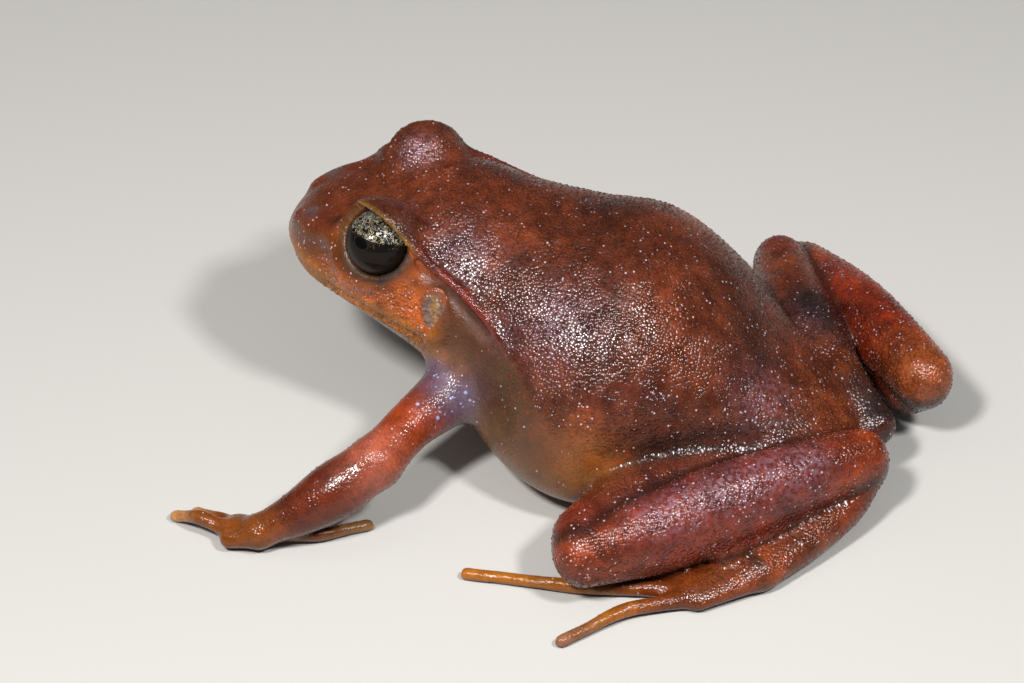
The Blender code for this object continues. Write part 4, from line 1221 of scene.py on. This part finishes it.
def eyeFinish():
    look = eyeLook
    mat, shader, spot = newFinish("wetEye", Specular_IOR_Level=0.04, Coat_Weight=0.3, Coat_Roughness=0.03,
                                  Coat_IOR=1.36)
    iris = attribute(mat, "iris", "Vector")
    forward, up, _ = parted(iris, "XYZ")
    a, b = (calc("DIVIDE", way, size) for way, size in zip((forward, up), eyes["pupil"]))
    radial = calc("SQRT", plus(times(a, a), times(b, b)))
    pupil = ramped(radial, 0.94, 1.08, 1.0, 0.0)
    ring = times(ramped(radial, 1.0, 1.12), ramped(radial, 1.10, 1.22, 1.0, 0.0))
    # the silvery upper iris begins on a line over the pupil that climbs towards the rear
    rear = calc("MAXIMUM", minus(times(forward, -1.0), 0.4), 0.0)
    edge = plus(times(rear, look["lineClimb"]), look["lineHeight"])
    over = plus(minus(up, edge), times(minus(noise(spot, 5200.0), 0.5), 0.3))
    bright = ramped(over, -0.05, 0.1)
    # its lace: worm-like lines on a faint ground, silver in some places and gold in others
    worms = noise(spot, look["laceSize"], 1.5, Roughness=0.55, Distortion=1.4)
    lines = ramped(calc("ABSOLUTE", minus(worms, 0.5)), 0.025, 0.06, 1.0, 0.0)
    ground = times(ramped(noise(spot, 3600.0), 0.48, 0.6), 0.16)
    lace = times(bright, calc("MAXIMUM", lines, ground))
    golden = times(ramped(noise(spot, 1300.0, 1.0), 0.4, 0.6), 0.6)
    colour = mixed(lace, look["dark"], mixed(golden, look["silver"], look["gold"]))
    # gold dust under the line, and the smoky lower half with its faint rings
    dusty = ramped(over, -0.7, -0.05, 0.0, 0.9)
    dust = use("specks", Vector=spot, Size=look["dustSize"], Share=dusty)["Mask"]
    colour = mixed(times(times(dust, minus(1.0, bright)), 0.7), colour, look["dust"])
    colour = mixed(times(ring, 0.2), colour, look["pupilRing"])
    colour = mixed(pupil, colour, look["pupil"])
    away = wire("VectorMath", {0: iris, 1: look["smokeCentre"]}, operation="DISTANCE").outputs["Value"]
    rings = ramped(calc("SINE", times(away, 34.0)), 0.55, 1.0)
    smoke = mixed(times(rings, 0.5), look["smoke"], look["smokeRings"])
    lower = plus(times(up, -1.0), times(forward, -0.35))
    colour = mixed(ramped(lower, 0.15, 0.75, 0.0, 0.9), colour, smoke)
    dress(shader, colour, wetFilm(spot, look), times(lace, look["laceHeight"]))
    mat.node_tree.links.new(times(lace, look["shine"]), shader.inputs["Metallic"])
    return mat


drum = {
    "inside": 0.5,                                # how near the middle the recess floor is measured
    # share of the radius and height over the floor of the recess, from the hidden foot to the dome's top
    "profile": ((0.45, -0.3), (0.96, -0.3), (1.02, -0.1), (0.97, 0.03), (0.85, 0.036), (0.65, 0.06),
                (0.4, 0.076), (0.18, 0.08)),
    "mauve": (0.095, 0.066, 0.062, 1.0), "golden": (0.230, 0.120, 0.048, 1.0),
    # the drum's pale dots: its own flecks, and painted glints
    "edge": (0.20, 0.048, 0.010, 1.0), "dots": (0.00026, 0.55, 0.8, (0.48, 0.44, 0.41, 1.0)),
    "grain": 0.00034, "grainHeight": 0.07, "filmSize": 0.0006, "wettest": 0.12, "driest": 0.26,
}


def makeDrum(name, side, finish, points):
    across, up, facing = earAxes(side)
    ear = sided(body["ear"], side)
    away = points - ear
    axial = away @ facing
    onAxis = (np.hypot(away @ across, away @ up) < drum["inside"]) & (np.abs(axial) < face["earDepth"])
    floor = float(np.median(axial[onAxis]))
    wide, tall = body["earSize"]
    turn = np.linspace(0, 2 * math.pi, 48, endpoint=False)
    rings = [ear + facing * (floor + height) + np.outer(np.cos(turn) * wide * share, across)
             + np.outer(np.sin(turn) * tall * share, up) for share, height in drum["profile"]]
    ends = [ear + facing * (floor + height) for height in (drum["profile"][0][1], drum["profile"][-1][1])]
    shell, *faces = ringsToShell(rings, *ends)
    obj = newMesh(name, shell, *facedOut(*faces, across, up, facing))
    keep(obj.data, "rim", "FLOAT", np.hypot((shell - ear) @ across / wide, (shell - ear) @ up / tall))
    obj.data.materials.append(finish)
    return obj


def drumFinish():
    mat, shader, spot = newFinish("drumSkin", Specular_IOR_Level=0.4, Coat_Weight=0.1, Coat_Roughness=0.12)
    colour = mixed(ramped(noise(spot, 1100.0, 3.0), 0.48, 0.66), drum["mauve"], drum["golden"])
    colour = use("mottle", Color=colour, Vector=spot, Size=0.0004, Dark=0.6, Light=1.5)["Color"]
    out = plus(attribute(mat, "rim", "Fac"), times(minus(noise(spot, 1500.0), 0.5), 1.1))
    colour = mixed(ramped(out, 0.55, 1.0), colour, drum["edge"])
    # pale dots: the drum's flecks, and painted glints
    colour = dotted(colour, spot, drum["dots"])
    rough = wetFilm(spot, drum)
    coarse = use("granules", Vector=spot, Size=drum["grain"])
    dress(shader, colour, rough, times(coarse["Height"], drum["grainHeight"]))
    return mat


skinPoints, skinQuads = largestShell(*meshOf(skinField()))
skinPoints = relaxed(skinPoints, skinQuads)
skin = newMesh("skin", skinPoints, skinQuads)
print("skin meshed:", len(skinPoints), "points")
normals = np.empty(len(skinPoints) * 3, np.float32)
skin.data.vertices.foreach_get("normal", normals)
layers = skinPaint(skinPoints, normals.reshape(-1, 3))
for name, values in layers.items():
    keep(skin.data, name, "FLOAT_COLOR", np.column_stack([values, np.ones(len(values))]))
grain, specks = layers["marks"][:, 0], layers["marks"][:, 1]
least, more = granules["swell"]
keep(skin.data, "swell", "FLOAT", least + more * specks)
amount = smooth(grain, *granules["fromGrain"]) * smooth(skinPoints[:, 2], *granules["fromFloor"])
keep(skin.data, "scatter", "FLOAT", amount)
skin.data.materials.append(skinFinish())
print("skin painted")
domes = makeGranules(skin)
print("granules scattered")
limbNodes = [f"{part}_{side}" for side in ("left", "right") for part in (
    "upper_arm", "forearm", "hand", "thigh", "shank", "tarsus", "foot")]
finishPiece(skin, "back_skin", "head", "lower_jaw", "torso", *limbNodes)
finishPiece(domes, "back_skin")
eyeCoat, drumCoat = eyeFinish(), drumFinish()
for name, side in (("left", 1), ("right", -1)):
    finishPiece(makeEye("eyeball_" + name, side, eyeCoat), "eye", "eye_" + name)
    finishPiece(makeDrum("drum_" + name, side, drumCoat, skinPoints), "eardrum", "eardrum_" + name)
